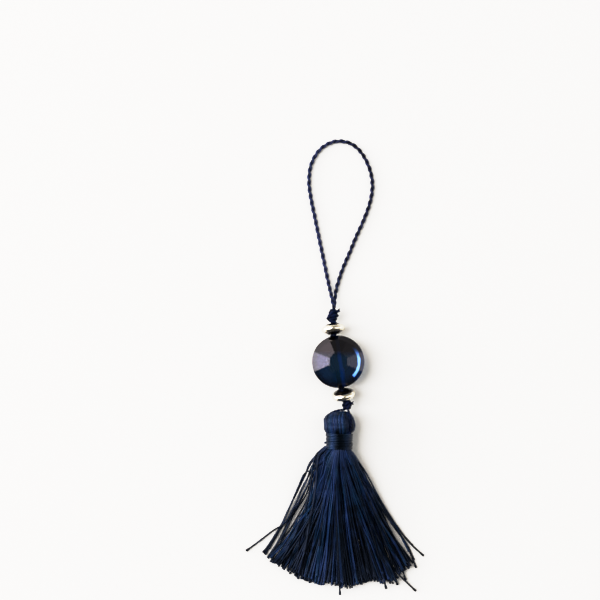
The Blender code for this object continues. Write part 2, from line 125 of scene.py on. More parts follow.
def add_node(owner: bpy.types.Material | bpy.types.World, kind: str,
             settings: dict | None = None, links: dict | None = None) -> bpy.types.Node:
    """Add one shader node.

    Args:
        owner: The material or world that gets the node.
        kind: The node's type name after "ShaderNode".
        settings: Values by property name, or by input name or number.
        links: For each input name or number, the (node, output) that feeds it.

    Returns:
        The new node.
    """
    tree = owner.node_tree
    node = tree.nodes.new("ShaderNode" + kind)
    for key, value in (settings or {}).items():
        if isinstance(key, str) and key in node.bl_rna.properties:
            setattr(node, key, value)
        else:
            node.inputs[key].default_value = value
    for key, (source, output) in (links or {}).items():
        tree.links.new(source.outputs[output], node.inputs[key])
    return node


def new_material(name: str, levels: dict[str, float | Colour]) -> bpy.types.Material:
    """Make a material with one Principled shader.

    Args:
        name: The material's name.
        levels: Constant values by input name.

    Returns:
        The material.
    """
    material = bpy.data.materials.new(name)
    material.use_nodes = True
    for key, value in levels.items():
        material.node_tree.nodes[PRINCIPLED].inputs[key].default_value = value
    return material


def fade(owner: bpy.types.Material | bpy.types.World, source: Output, begins: float,
         ends: float, before: float = 0.0, after: float = 1.0) -> Output:
    """Turn one value into another that changes smoothly between two of its levels.

    Args:
        owner: The material or world that gets the node.
        source: The value.
        begins: Its level where the change begins.
        ends: Its level where the change ends.
        before: The new value up to there.
        after: The new value from there on.

    Returns:
        The new value.
    """
    levels = {"interpolation_type": "SMOOTHSTEP", "From Min": begins, "From Max": ends,
              "To Min": before, "To Max": after}
    return add_node(owner, "MapRange", levels, {"Value": source}), "Result"


def product(owner: bpy.types.Material | bpy.types.World, first: Output,
            *others: Output) -> Output:
    """Multiply values.

    Args:
        owner: The material or world that gets the nodes.
        first: One value.
        others: The others.

    Returns:
        Their product.
    """
    result = first
    for other in others:
        result = (add_node(owner, "Math", {"operation": "MULTIPLY"}, {0: result, 1: other}), 0)
    return result


def blend(owner: bpy.types.Material, share: Output, start: str, end: str) -> Output:
    """Mix two colours.

    Args:
        owner: The material that gets the node.
        share: How much of the second one there is.
        start: The first, in hex.
        end: The second, in hex.

    Returns:
        The mixed colour.
    """
    colours = {"data_type": "RGBA", 6: srgb(start), 7: srgb(end)}
    return add_node(owner, "Mix", colours, {0: share}), 2


def feed(owner: bpy.types.Material | bpy.types.World, last: str, links: dict) -> None:
    """Link nodes into one that a new material or world has already.

    Args:
        owner: The material or world that holds them.
        last: The name of the node that gets the links.
        links: For each input name, the (node, output) that feeds it.
    """
    tree = owner.node_tree
    for key, (source, output) in links.items():
        tree.links.new(source.outputs[output], tree.nodes[last].inputs[key])


def deselect_all() -> None:
    """Leave edit mode and select nothing."""
    if bpy.context.object and bpy.context.object.mode != "OBJECT":
        bpy.ops.object.mode_set(mode="OBJECT")
    bpy.ops.object.select_all(action="DESELECT")


def pick(piece: bpy.types.Object) -> None:
    """Make one object the only selected and the active one."""
    deselect_all()
    piece.select_set(True)
    bpy.context.view_layer.objects.active = piece


def apply_place(piece: bpy.types.Object) -> None:
    """Put an object's place, turn and scale into its mesh."""
    pick(piece)
    bpy.ops.object.transform_apply(location=True, rotation=True, scale=True)


def apply_modifiers(piece: bpy.types.Object) -> None:
    """Apply every modifier in order."""
    pick(piece)
    for modifier in list(piece.modifiers):
        bpy.ops.object.modifier_apply(modifier=modifier.name)


@contextmanager
def editing(piece: bpy.types.Object) -> Iterator[None]:
    """Open a mesh with all of it selected, and close it again."""
    pick(piece)
    bpy.ops.object.mode_set(mode="EDIT")
    bpy.ops.mesh.select_all(action="SELECT")
    yield
    bpy.ops.object.mode_set(mode="OBJECT")


def tidy_mesh(piece: bpy.types.Object) -> None:
    """Merge doubled vertices and turn the faces outwards."""
    with editing(piece):
        bpy.ops.mesh.remove_doubles(threshold=MERGE)
        bpy.ops.mesh.normals_make_consistent(inside=False)


def smooth(piece: bpy.types.Object, degrees: float) -> None:
    """Smooth the shading where faces meet at less than an angle."""
    pick(piece)
    bpy.ops.object.shade_smooth_by_angle(angle=math.radians(degrees))


def join(name: str, parts: Sequence[bpy.types.Object]) -> bpy.types.Object:
    """Join mesh objects into one.

    Args:
        name: The joined object's name.
        parts: The objects, the first of which is kept.

    Returns:
        The joined object.
    """
    pick(parts[0])
    for part in parts[1:]:
        part.select_set(True)
    if len(parts) > 1:
        bpy.ops.object.join()
    parts[0].name = name
    parts[0].data.name = name
    return parts[0]


def set_attribute(piece: bpy.types.Object, name: str, values: np.ndarray) -> None:
    """Give the points of a mesh a named attribute.

    Args:
        piece: The mesh object.
        name: The attribute's name.
        values: One value for each point, or a single one for all.
    """
    layer = piece.data.attributes.new(name, "FLOAT", "POINT")
    count = len(piece.data.vertices)
    layer.data.foreach_set("value", np.broadcast_to(values, count).astype(np.float32))


def point_places(piece: bpy.types.Object) -> np.ndarray:
    """Read the places of a mesh's points, one row each, in metres."""
    places = np.empty(len(piece.data.vertices) * 3, np.float32)
    piece.data.vertices.foreach_get("co", places)
    return places.reshape(-1, 3)


def scale_uv(piece: bpy.types.Object, along: float, around: float, shift: float = 0.0) -> None:
    """Turn a tube's UV map into millimetres along it and round it.

    Args:
        piece: The tube, whose map runs from 0 to 1 both ways.
        along: Its length in millimetres.
        around: Its girth in millimetres.
        shift: A distance that keeps the patterns of two tubes apart.
    """
    layer = piece.data.uv_layers.active.data
    values = np.empty(len(layer) * 2, np.float32)
    layer.foreach_get("uv", values)
    values = values.reshape(-1, 2) * (along, around) + (shift, shift * 0.37)
    layer.foreach_set("uv", values.astype(np.float32).ravel())


def dress(piece: bpy.types.Object, material: bpy.types.Material | None,
          node: str) -> None:
    """Finish a piece: its material, its body and the solids it stands for.

    Args:
        piece: The finished object.
        material: Its material, or none where its faces have theirs already.
        node: The solid that it replaces.
    """
    if material:
        piece.data.materials.clear()
        piece.data.materials.append(material)
    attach(piece, ROOT)
    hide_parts(node)
    count = sum(len(face.vertices) - 2 for face in piece.data.polygons)
    LOG.info("%s: %d triangles", piece.name, count)


# ---------------------------------------------------------------- routes and tubes


def smooth_route(points: Sequence[Vector], step: float) -> tuple[Route, float]:
    """Spread points evenly on a Catmull-Rom curve.

    Args:
        points: The places that the curve passes through.
        step: About how far apart the new points are.

    Returns:
        The new points and the curve's length.
    """
    fine = []
    ends = [points[0] * 2 - points[1], *points, points[-1] * 2 - points[-2]]
    for before, start, end, after in zip(ends, ends[1:], ends[2:], ends[3:]):
        for share in np.linspace(0.0, 1.0, CURVE_STEPS, endpoint=False):
            fine.append(0.5 * ((2 * start) + (end - before) * share
                               + (2 * before - 5 * start + 4 * end - after) * share ** 2
                               + (3 * start - before - 3 * end + after) * share ** 3))
    line = np.array([*fine, points[-1]])
    travelled = np.concatenate([[0.0], np.cumsum(np.linalg.norm(np.diff(line, axis=0), axis=1))])
    count = max(2, round(travelled[-1] / step)) + 1
    stations = np.linspace(0.0, travelled[-1], count)
    route = [Vector([float(np.interp(station, travelled, line[:, axis])) for axis in range(3)])
             for station in stations]
    return route, float(travelled[-1])


def millimetres(rows: Iterable[Sequence[float]]) -> Route:
    """Turn rows of three millimetre values into points in metres."""
    return [Vector(row) * MM for row in rows]


@dataclass
class Tube:
    """A tube along one route, with its own radius at each point."""

    points: Route
    radii: list[float]
    tilts: list[float] | None = None


def curve_to_mesh(name: str, tubes: Sequence[Tube], sides: int = 6,
                  section: bpy.types.Object | None = None) -> bpy.types.Object:
    """Sweep tubes as one curve object and make it a closed mesh.

    Args:
        name: The object's name.
        tubes: The tubes, which may cross.
        sides: How many sides a round tube has: 4, 6 or 8.
        section: An outline of radius one to sweep instead of a round one.

    Returns:
        The mesh object, at the origin.
    """
    curve = bpy.data.curves.new(name, "CURVE")
    curve.dimensions = "3D"
    curve.use_fill_caps = True
    if section is None:
        curve.bevel_depth = 1.0
        curve.bevel_resolution = sides // 2 - 2
    else:
        curve.bevel_mode = "OBJECT"
        curve.bevel_object = section
    for tube in tubes:
        spline = curve.splines.new("POLY")
        spline.points.add(len(tube.points) - 1)
        spline.points.foreach_set("co", [value for point in tube.points
                                         for value in (*point, 1.0)])
        spline.points.foreach_set("radius", tube.radii)
        if tube.tilts:
            spline.points.foreach_set("tilt", tube.tilts)
    piece = bpy.data.objects.new(name, curve)
    bpy.context.collection.objects.link(piece)
    pick(piece)
    bpy.ops.object.convert(target="MESH")
    piece = bpy.context.object
    tidy_mesh(piece)
    return piece


def sweep_groups(name: str, groups: dict[int, list[Tube]], size: Triple,
                 tone: Callable[[int, np.ndarray], np.ndarray]) -> bpy.types.Object:
    """Sweep strands group by group and give each group its tone.

    Args:
        name: The joined object's name.
        groups: The strands of each group by its number, from dark to light.
        size: A strand's length and girth, and the shift between two groups' patterns, in
            millimetres.
        tone: Finds the tone of points from their group's number and their places in
            millimetres.

    Returns:
        One smooth mesh object.
    """
    along, around, shift = size
    parts = []
    for number, tubes in sorted(groups.items()):
        part = curve_to_mesh(f"{name}_{number}", tubes)
        scale_uv(part, along, around, shift * number)
        set_attribute(part, "tone", tone(number, point_places(part) / MM))
        parts.append(part)
    joined = join(name, parts)
    smooth(joined, 60.0)
    return joined


@dataclass
class PliedCord:
    """Cord twisted from a few plies, swept along routes.

    Attributes:
        diameter: Over the crests of the plies.
        plies: How many there are.
        groove: How deep the groove between two plies is.
        lay: Length of one full turn of the plies.
        step: Distance between two sections.
        points_per_ply: How many points outline one ply.
        crest_tone: How light the crests are painted, from 0 to 1; less is painted shade.
        crest_width: More than 1 keeps the light to the very crests.
        kink: How far the cord bends aside at each ply.
    """

    diameter: float
    plies: int = 2
    groove: float = 0.3 * MM
    lay: float = 4.3 * MM
    step: float = 0.2 * MM
    points_per_ply: int = 10
    crest_tone: float = 1.0
    crest_width: float = 1.5
    kink: float = 0.0

    def section(self) -> bpy.types.Object:
        """Draw the outline: rounded plies with a sharp groove between two.

        Returns:
            A flat closed curve of about radius one.
        """
        bpy.ops.mesh.primitive_circle_add(vertices=self.plies * self.points_per_ply, radius=1.0)
        outline = bpy.context.object
        depth = self.groove / (self.diameter / 2)
        for vertex in outline.data.vertices:
            angle = math.atan2(vertex.co.y, vertex.co.x)
            crest = abs(math.cos(0.5 * self.plies * angle))
            vertex.co *= 1.0 - depth * (1.0 - crest)
        bpy.ops.object.convert(target="CURVE")
        return bpy.context.object

    def kinked(self, points: Route) -> Route:
        """Bend a route from side to side, once for each ply.

        Args:
            points: The route's points, one step apart.

        Returns:
            The bent route.
        """
        bent = []
        for index, point in enumerate(points):
            ahead = points[min(index + 1, len(points) - 1)] - points[max(index - 1, 0)]
            aside = ahead.cross(Vector((0.0, 0.0, 1.0))).normalized()
            phase = FULL_TURN * index * self.step * self.plies / self.lay
            bent.append(point + aside * self.kink * math.sin(phase))
        return bent

    def sweep(self, name: str, routes: Sequence[Sequence[Vector]],
              swell: Sequence[float] | None = None) -> bpy.types.Object:
        """Sweep the cord along every route.

        Args:
            name: The new object's name.
            routes: Corner points of each route.
            swell: Optional scale of the section along every route, from start to end.

        Returns:
            One mesh object, with a UV map in millimetres along and round the cord.
        """
        outline = self.section()
        tubes = []
        total = 0.0
        for index, corners in enumerate(routes):
            points, length = smooth_route(corners, self.step)
            turn = -FULL_TURN * length / (len(points) - 1) / self.lay
            shares = np.linspace(0.0, 1.0, len(points))
            scale = (np.interp(shares, np.linspace(0.0, 1.0, len(swell)), swell)
                     if swell else np.ones(len(points)))
            tilts = [index + step * turn for step in range(len(points))]
            tubes.append(Tube(self.kinked(points), list(scale * self.diameter / 2), tilts))
            total += length
        piece = curve_to_mesh(name, tubes, section=outline)
        bpy.data.objects.remove(outline, do_unlink=True)
        scale_uv(piece, total / len(routes) / MM, math.pi * self.diameter / MM)
        # painted shade in the grooves between the plies, painted light on their crests
        set_attribute(piece, "tone", self.crests(piece, tubes))
        smooth(piece, 50.0)
        return piece

    def crests(self, piece: bpy.types.Object, tubes: Sequence[Tube]) -> np.ndarray:
        """Tell the crests of the plies from the grooves between them; the grooves get
        painted shade.

        Args:
            piece: The swept cord.
            tubes: The tubes that it was swept along.

        Returns:
            For each point of the mesh, 0 in a groove to the full tone on a crest.
        """
        centres = [(point, radius) for tube in tubes
                   for point, radius in zip(tube.points, tube.radii)]
        tree = KDTree(len(centres))
        for index, (point, _) in enumerate(centres):
            tree.insert(point, index)
        tree.balance()
        depth = self.groove / (self.diameter / 2)
        ratios = []
        for place in point_places(piece):
            _, index, distance = tree.find(Vector(place))
            ratios.append(distance / centres[index][1])
        heights = np.clip((np.array(ratios) - 1.0) / depth + 1.0, 0.0, 1.0)
        return self.crest_tone * heights ** self.crest_width


# ---------------------------------------------------------------- finishes


@dataclass(frozen=True)
class SpunRayon:
    """Rayon (viscose) filament yarn: dye goes right through it, and it is smooth and silky.

    Its filaments lie side by side, so it shines along them in soft lines, and the twist of
    the filaments shows as slanting hairlines. The UV map is in millimetres, and the "tone"
    attribute says how light each strand or crest is; in places that tone is painted light and
    painted shade.

    Attributes:
        name: The material's name.
        deep: Colour between filaments.
        lit: Colour of a filament that faces the light.
        roughness: Of one filament.
        filament: Width of a visible bundle of filaments, in millimetres.
        slant: Length of one turn of the filaments, in millimetres.
        relief: Height of a filament over its neighbours, in millimetres.
        gloss: Strength of the reflection from a filament's surface.
        glint: Its tint: part of the light goes through the dye in the filament before it returns.
        cast: Tint of the places where the dye took differently.
        weights: How much the streaks and the "tone" attribute count beside the dye.
        span: Sums of the three at which the colour is deep and lit.
    """

    name: str
    deep: str
    lit: str
    roughness: float
    filament: float
    slant: float
    relief: float
    gloss: float = 0.5
    glint: str = "#a4b8f4"
    cast: str = "#78dcc0"
    weights: Pair = (0.6, 0.85)
    span: Pair = (0.8, 1.65)

    def build(self) -> bpy.types.Material:
        """Make the material.

        Returns:
            The material, which reads the piece's own UV map.
        """
        material = new_material(self.name, {
            "Roughness": self.roughness, "IOR": 1.4, "Specular IOR Level": self.gloss,
            "Specular Tint": srgb(self.glint)})
        add = partial(add_node, material)
        uv = add("UVMap", {"uv_map": "UVMap"})
        # filaments: long thin streaks, turned a little against the yarn's own line
        turned = add("Mapping", {"Rotation": (0.0, 0.0, math.atan2(2.0, self.slant))},
                     {"Vector": (uv, "UV")})
        drawn = add("Mapping", {"Scale": (0.25, 1.0 / self.filament, 1.0)}, {"Vector": (turned, 0)})
        streaks = add("TexNoise", {"Scale": 1.0, "Detail": 3.0, "Roughness": 0.6},
                      {"Vector": (drawn, 0)})
        # dye: slow changes of depth, about 3 mm from one to the next
        place = add("TexCoord")
        dye = add("TexNoise", {"Scale": 330.0, "Detail": 3.0}, {"Vector": (place, "Object")})
        mixed = add("Math", {"operation": "MULTIPLY_ADD", 1: self.weights[0]},
                    {0: (streaks, "Fac"), 2: (dye, "Fac")})
        tone = add("Attribute", {"attribute_name": "tone"})
        mixed = add("Math", {"operation": "MULTIPLY_ADD", 1: self.weights[1]},
                    {0: (tone, "Fac"), 2: (mixed, 0)})
        share = add("MapRange", {"From Min": self.span[0], "From Max": self.span[1]},
                    {"Value": (mixed, 0)})
        colour = blend(material, (share, "Result"), self.deep, self.lit)
        # cast: patches a millimetre or two across, drawn out along the strands
        along = add("Mapping", {"Scale": (1.0, 0.12, 1.0)}, {"Vector": (place, "Object")})
        took = add("TexNoise", {"Scale": 520.0, "Detail": 2.0}, {"Vector": (along, 0)})
        drift = add("MapRange", {"From Min": 0.44, "From Max": 0.6, "To Max": 0.75},
                    {"Value": (took, "Fac")})
        colour = add("Mix", {"data_type": "RGBA", "blend_type": "MULTIPLY", 7: srgb(self.cast)},
                     {0: (drift, "Result"), 6: colour})
        bump = add("Bump", {"Strength": 0.7, "Distance": self.relief * MM},
                   {"Height": (streaks, "Fac")})
        feed(material, PRINCIPLED, {"Base Color": (colour, 2), "Normal": (bump, "Normal")})
        return material


@dataclass(frozen=True)
class CutCrystal:
    """Blue lead crystal, ground and fire polished: clear, deep and sharply reflecting.

    Light that has crossed the bead from its left would gather inside the right edge facets;
    there a sky-blue crescent is painted in and made to glow, as painted light. The glass is
    also painted darker towards +Y and all round the rim, as painted shade.

    Attributes:
        name: The material's name.
        body: Colour of the glass in a thin layer.
        painted_shade_colour: The same, painted darker towards +Y and all round the rim, as painted
            shade.
        stain: Colour left after a long way through it.
        density: How fast the stain takes hold, per metre.
        clear: Share of light that goes through and isn't scattered back.
        roughness: Of the polish.
        glint: Tint of the reflections.
        gathered: Colour of the crescent of painted light.
        spent: Its colour towards its ends.
        crescent: Its radius and half its width.
        crescent_ends: Where X + Y has it start and be full, and Y has it fade and end.
        right_half: From where to where on X it comes in, which keeps it on the right.
        wobble: How uneven its edge is, as it crosses the facets.
        brightest: Where on Y it goes from spent to gathered.
        glow: How much of its painted light it sends on, as emission.
        veiled: Share of light that still goes through it.
        painted_shade_above: Where on Y the painted shade begins and is full.
        painted_shade_rim: From which radius to which it does so at the rim.
    """

    name: str = "cut_crystal_navy"
    body: str = "#3c9ce4"
    painted_shade_colour: str = "#0d1214"
    stain: str = "#3c9cc0"
    density: float = 460.0
    clear: float = 0.96
    roughness: float = 0.015
    glint: str = "#f0e8f8"
    gathered: str = "#98c8ff"
    spent: str = "#2c80f0"
    crescent: Pair = (6.34 * MM, 0.6 * MM)
    crescent_ends: Quad = (-0.1 * MM, 0.25 * MM, 0.8 * MM, 4.6 * MM)
    right_half: Pair = (2 * MM, 3 * MM)
    wobble: float = 0.4 * MM
    brightest: Pair = (-5.5 * MM, -3.0 * MM)
    glow: float = 0.5
    veiled: float = 0.45
    painted_shade_above: Pair = (1.0 * MM, 3.4 * MM)
    painted_shade_rim: Pair = (3.4 * MM, 8.5 * MM)

    def build(self) -> bpy.types.Material:
        """Make the material.

        Returns:
            A clear glass whose colour comes from the depth of blue that light crosses, with a
            crescent of painted light and painted shade towards +Y and the rim.
        """
        material = new_material(self.name, {
            "Roughness": self.roughness, "IOR": 1.62, "Specular Tint": srgb(self.glint)})
        add = partial(add_node, material)
        place = add("TexCoord")
        ripple = add("TexNoise", {"Scale": 260.0, "Detail": 2.0}, {"Vector": (place, "Object")})
        bump = add("Bump", {"Strength": 0.06, "Distance": 0.02 * MM}, {"Height": (ripple, "Fac")})
        # crescent: a band of painted light, of one radius on the +X side, fading towards both
        # ends; it is painted into the colour and glows
        radius, half = self.crescent
        first, full, fading, last = self.crescent_ends
        wobble = add("TexNoise", {"Scale": 900.0, "Detail": 1.0}, {"Vector": (place, "Object")})
        flat = add("VectorMath", {"operation": "MULTIPLY", 1: (1, 1, 0)}, {0: (place, "Object")})
        reach = add("VectorMath", {"operation": "LENGTH"}, {0: (flat, 0)})
        edge = add("Math", {"operation": "MULTIPLY_ADD", 1: self.wobble},
                   {0: (wobble, "Fac"), 2: (reach, "Value")})
        off = add("Math", {"operation": "SUBTRACT", 1: radius + self.wobble / 2}, {0: (edge, 0)})
        away = add("Math", {"operation": "ABSOLUTE"}, {0: (off, 0)})
        axes = add("SeparateXYZ", links={0: (place, "Object")})
        slant = add("Math", {"operation": "ADD"}, {0: (axes, "X"), 1: (axes, "Y")})
        light = product(material, fade(material, (away, 0), half, half / 2),
                        fade(material, (slant, 0), first, full),
                        fade(material, (axes, "Y"), last, fading),
                        fade(material, (axes, "X"), *self.right_half))
        shine = product(material, fade(material, (axes, "Y"), *self.brightest), light)
        gathered = blend(material, shine, self.spent, self.gathered)
        glow = add("Math", {"operation": "MULTIPLY", 1: self.glow}, {0: light})
        # painted shade: the glass is painted darker towards +Y and all round the rim
        painted_shade = add("Math", {"operation": "MAXIMUM"},
                    {0: fade(material, (axes, "Y"), *self.painted_shade_above),
                     1: fade(material, (reach, "Value"), *self.painted_shade_rim)})
        body_and_painted_shade = blend(material, (painted_shade, 0), self.body, self.painted_shade_colour)
        colour = add("Mix", {"data_type": "RGBA"}, {0: light, 6: body_and_painted_shade, 7: gathered})
        passing = add("MapRange", {"To Min": self.clear, "To Max": self.veiled}, {"Value": light})
        feed(material, PRINCIPLED,
             {"Normal": (bump, "Normal"), "Base Color": (colour, 2),
              "Transmission Weight": (passing, "Result"), "Emission Strength": (glow, 0),
              "Emission Color": gathered})
        depth = add("VolumeAbsorption", {"Color": srgb(self.stain), "Density": self.density})
        feed(material, "Material Output", {"Volume": (depth, "Volume")})
        return material


@dataclass(frozen=True)
class GroundCrystal:
    """The drilled hole's wall: the same crystal, ground matt by the drill.

    It is painted dark beside the cords, as painted shade, and painted blue with a faint glow
    right of them, as painted light where light comes down to it.

    Attributes:
        name: The material's name.
        dark: Colour beside the cords: painted shade.
        lit: Colour where light comes down: painted light.
        glow: How much of that painted light it sends on, as emission.
        lean: The hole's turn from +Y towards -X.
        edge: Where across the hole the painted light begins and is full.
    """

    name: str = "ground_crystal"
    dark: str = "#020406"
    lit: str = "#1e5ca4"
    glow: float = 0.2
    lean: float = math.radians(8.8)
    edge: Pair = (-0.3 * MM, 0.5 * MM)

    def build(self) -> bpy.types.Material:
        """Make the material.

        Returns:
            A matt wall painted dark, with one side painted paler and glowing.
        """
        material = new_material(self.name, {"Roughness": 1.0, "Specular IOR Level": 0.02})
        add = partial(add_node, material)
        place = add("TexCoord")
        bored = add("Mapping", {"vector_type": "TEXTURE", "Rotation": (0.0, 0.0, self.lean)},
                    {"Vector": (place, "Object")})
        axes = add("SeparateXYZ", links={0: (bored, 0)})
        # painted light on the wall's right side, painted shade on its left
        down = fade(material, (axes, "X"), *self.edge)
        colour = blend(material, down, self.dark, self.lit)
        glow = add("Math", {"operation": "MULTIPLY", 1: self.glow}, {0: down})
        feed(material, PRINCIPLED,
             {"Base Color": colour, "Emission Color": colour, "Emission Strength": (glow, 0)})
        return material


@dataclass(frozen=True)
class PlatedAlloy:
    """Cast alloy with bright silver plate: mirror-like, with soft casting waves.

    The faces beside the rim are painted nearly black, as painted shade round the hole; a
    point attribute says how much.
    """

    name: str = "silver_plate"
    metal: str = "#f0e8d8"
    # colour of the painted shade on the faces beside the rim
    tarnish: str = "#423b31"
    roughness: float = 0.17

    def build(self) -> bpy.types.Material:
        """Make the material.

        Returns:
            A warm mirror, a little duller in places.
        """
        material = new_material(self.name, {"Metallic": 1.0})
        add = partial(add_node, material)
        place = add("TexCoord")
        waves = add("TexNoise", {"Scale": 420.0, "Detail": 2.0}, {"Vector": (place, "Object")})
        bump = add("Bump", {"Strength": 0.25, "Distance": 0.03 * MM}, {"Height": (waves, "Fac")})
        haze = add("MapRange", {"To Min": self.roughness * 0.7, "To Max": self.roughness * 1.6},
                   {"Value": (waves, "Fac")})
        # painted shade on the faces beside the rim
        tarnish = add("Attribute", {"attribute_name": "tarnish"})
        colour = blend(material, (tarnish, "Fac"), self.metal, self.tarnish)
        feed(material, PRINCIPLED,
             {"Normal": (bump, "Normal"), "Roughness": (haze, "Result"), "Base Color": colour})
        return material


@dataclass(frozen=True)
class CoatedBoard:
    """Smooth white board under the charm: matt, with the faintest paper grain."""

    name: str = "coated_board"
    bright: str = "#f8f8f7"
    dull: str = "#f5f5f3"

    def build(self) -> bpy.types.Material:
        """Make the material.

        Returns:
            A matt white with a faint grain.
        """
        material = new_material(self.name, {"Roughness": 0.75})
        add = partial(add_node, material)
        place = add("TexCoord")
        grain = add("TexNoise", {"Scale": 900.0, "Detail": 3.0}, {"Vector": (place, "Object")})
        colour = blend(material, (grain, "Fac"), self.dull, self.bright)
        feed(material, PRINCIPLED, {"Base Color": colour})
        return material


# ---------------------------------------------------------------- cords and knots


@dataclass
class HangingCord:
    """The cord that leaves the upper knot, runs round as a long loop and comes back."""

    cord: PliedCord
    corners: tuple[Triple, ...] = (
        (-1.2, 16.75, 4.15), (-1.5, 18.2, 3.6), (-1.95, 20.4, 2.6), (-2.55, 23.2, 1.4),
        (-3.25, 26.6, 0.68), (-4.3, 31.8, 0.62), (-5.7, 38.6, 0.62), (-7.25, 46.2, 0.62),
        (-8.5, 52.6, 0.62), (-8.85, 57.4, 0.62), (-8.1, 62.3, 0.62), (-5.6, 66.6, 0.62),
        (-2.1, 69.0, 0.62), (1.4, 69.5, 0.62), (4.9, 68.4, 0.62), (7.9, 65.4, 0.62),
        (10.2, 60.6, 0.62), (11.05, 55.4, 0.62), (10.3, 50.2, 0.62), (8.4, 44.8, 0.62),
        (5.9, 39.2, 0.62), (3.75, 34.0, 0.62), (1.75, 29.4, 0.62), (0.45, 25.6, 0.66),
        (-0.4, 22.4, 1.05), (-0.85, 19.6, 1.85), (-1.05, 17.1, 2.65),
    )
    # places from left to right, in millimetres, and how much darker the cord is there
    tone_across: tuple[Pair, ...] = ((-6.0, 0.0), (4.0, 0.38))

    def build(self, material: bpy.types.Material) -> None:
        """Args:
            material: The cord's finish.
        """
        corners = millimetres(self.corners)
        loop = self.cord.sweep("hanging_cord", [corners])
        crests = loop.data.attributes["tone"].data
        tones = np.empty(len(crests), np.float32)
        crests.foreach_get("value", tones)
        darkening = np.interp(point_places(loop)[:, 0] / MM, *zip(*self.tone_across))
        crests.foreach_set("value", (tones - darkening).astype(np.float32))
        dress(loop, material, "hanging_loop")


@dataclass
class Knot:
    """Overhand knot of the doubled cord, with one short cut end."""

    name: str
    node: str
    centre: Vector
    length: float
    width: float
    lean: float                     # its top turned towards -X
    turns: float                    # of each strand round the knot
    first_turn: float               # where they begin, from +X towards +Z
    cut_end: Vector
    cord: PliedCord
    tails: tuple[Vector, ...]       # where the cords that leave it are met
    bluntness: float = 0.38         # less makes its ends blunter
    wrap_steps: int = 30
    filaments: int = 16
    fray: float = 0.82              # share of the way to the cut end where they part
    fray_spread: float = 0.42       # millimetres
    fray_reach: Pair = (0.05, 0.45)  # millimetres past the cut end
    # share of the spread at the filaments' root, how far along they bend, its share there
    fray_bend: Triple = (0.4, 0.6, 0.15)
    filament_radii: Triple = (0.16 * MM, 0.12 * MM, 0.07 * MM)
    tuft_tone: float = 0.3
    stub_swell: Pair = (1.0, 0.8)   # at the knot and at the cut

    def wraps(self) -> list[Route]:
        """Wrap both strands round the knot's own axis.

        Returns:
            One route for each strand, then one through the middle.
        """
        wrap = (self.width - self.cord.diameter) / 2
        travel = self.length - self.cord.diameter
        tip = Matrix.Rotation(self.lean, 3, "Z")
        routes = []
        for side in (-0.5, 0.5):
            route = []
            for share in np.linspace(0.0, 1.0, self.wrap_steps):
                swell = wrap * math.sin(math.pi * share) ** self.bluntness
                angle = self.first_turn + FULL_TURN * self.turns * share
                along = (travel * (0.5 - share)
                         + side * self.cord.diameter * math.sin(math.pi * share))
                route.append(self.centre + tip @ Vector(
                    (swell * math.cos(angle), along, swell * math.sin(angle))))
            routes.append(route)
        axis = tip @ Vector((0.0, travel / 2, 0.0))
        routes.append([self.centre + axis, self.centre, self.centre - axis])
        return routes

    def cut_tuft(self, seed: int) -> bpy.types.Object:
        """Fray the cut end into a small tuft.

        Args:
            seed: Seed of the tuft's random turns.

        Returns:
            The filaments as one mesh.
        """
        chance = random.Random(seed)
        root = self.centre.lerp(self.cut_end, self.fray)
        reach = (self.cut_end - self.centre).normalized()
        near, way, far = self.fray_bend
        tubes = []
        for _ in range(self.filaments):
            spread = Vector([chance.uniform(-self.fray_spread, self.fray_spread)
                             for _ in range(3)]) * MM
            tip = self.cut_end + reach * chance.uniform(*self.fray_reach) * MM + spread
            tubes.append(Tube([root + spread * near, root.lerp(tip, way) + spread * far, tip],
                              list(self.filament_radii)))
        tuft = curve_to_mesh(self.name + "_tuft", tubes)
        scale_uv(tuft, 1.0, 0.8)
        set_attribute(tuft, "tone", self.tuft_tone)
        smooth(tuft, 50.0)
        return tuft

    def build(self, material: bpy.types.Material) -> None:
        """Build and dress the knot.

        Args:
            material: The cord's finish.
        """
        wound = self.cord.sweep(self.name + "_wraps", self.wraps())
        stub = self.cord.sweep(self.name + "_stub", [[self.centre, self.cut_end]],
                               self.stub_swell)
        tails = self.cord.sweep(self.name + "_tails",
                                [[self.centre, self.centre.lerp(tail, 0.5), tail]
                                 for tail in self.tails])
        knot = join(self.name, [wound, stub, tails, self.cut_tuft(len(self.name))])
        dress(knot, material, self.node)


@dataclass
class CoreCords:
    """The doubled cord through both spacers and the bead."""

    cord: PliedCord
    hole_lean: float
    reach: float                    # the bead's radius
    middle: Vector                  # of the bead
    upper: Vector                   # where they cross the spacers
    lower: Vector
    spread: float = 0.66 * MM
    rise: float = 0.5 * MM          # how much higher the right one lies
    lean_aside: float = -0.22 * MM  # how far off the hole's middle they lie
    grip: float = 0.86              # share of the reach at which the hole holds them
    # how far past the middles of the spacers they end, above and below
    upper_end: Triple = (-0.1, 1.6, -0.02)
    lower_end: Triple = (0.2, -1.5, -0.02)
    # the strands open where the hole lets them, at its two mouths
    swell: tuple[float, ...] = (1.0, 1.0, 1.3, 1.1, 1.0, 1.0, 1.0, 1.0, 1.0, 1.1, 1.3, 1.0, 1.0)

    def build(self, material: bpy.types.Material) -> None:
        """Lay two strands side by side and dress them.

        Args:
            material: The cord's finish.
        """
        lean = Vector((-math.sin(self.hole_lean), math.cos(self.hole_lean), 0.0))
        points = [self.upper + Vector(self.upper_end) * MM, self.upper,
                  self.middle + lean * self.reach * self.grip, self.middle,
                  self.middle - lean * self.reach * self.grip,
                  self.lower, self.lower + Vector(self.lower_end) * MM]
        routes = []
        for side in (-0.5, 0.5):
            offset = Vector((side * self.spread + self.lean_aside, 0.0, side * self.rise))
            routes.append([point + offset for point in points])
        cords = self.cord.sweep("core_cords", routes, self.swell)
        dress(cords, material, "core_cord")


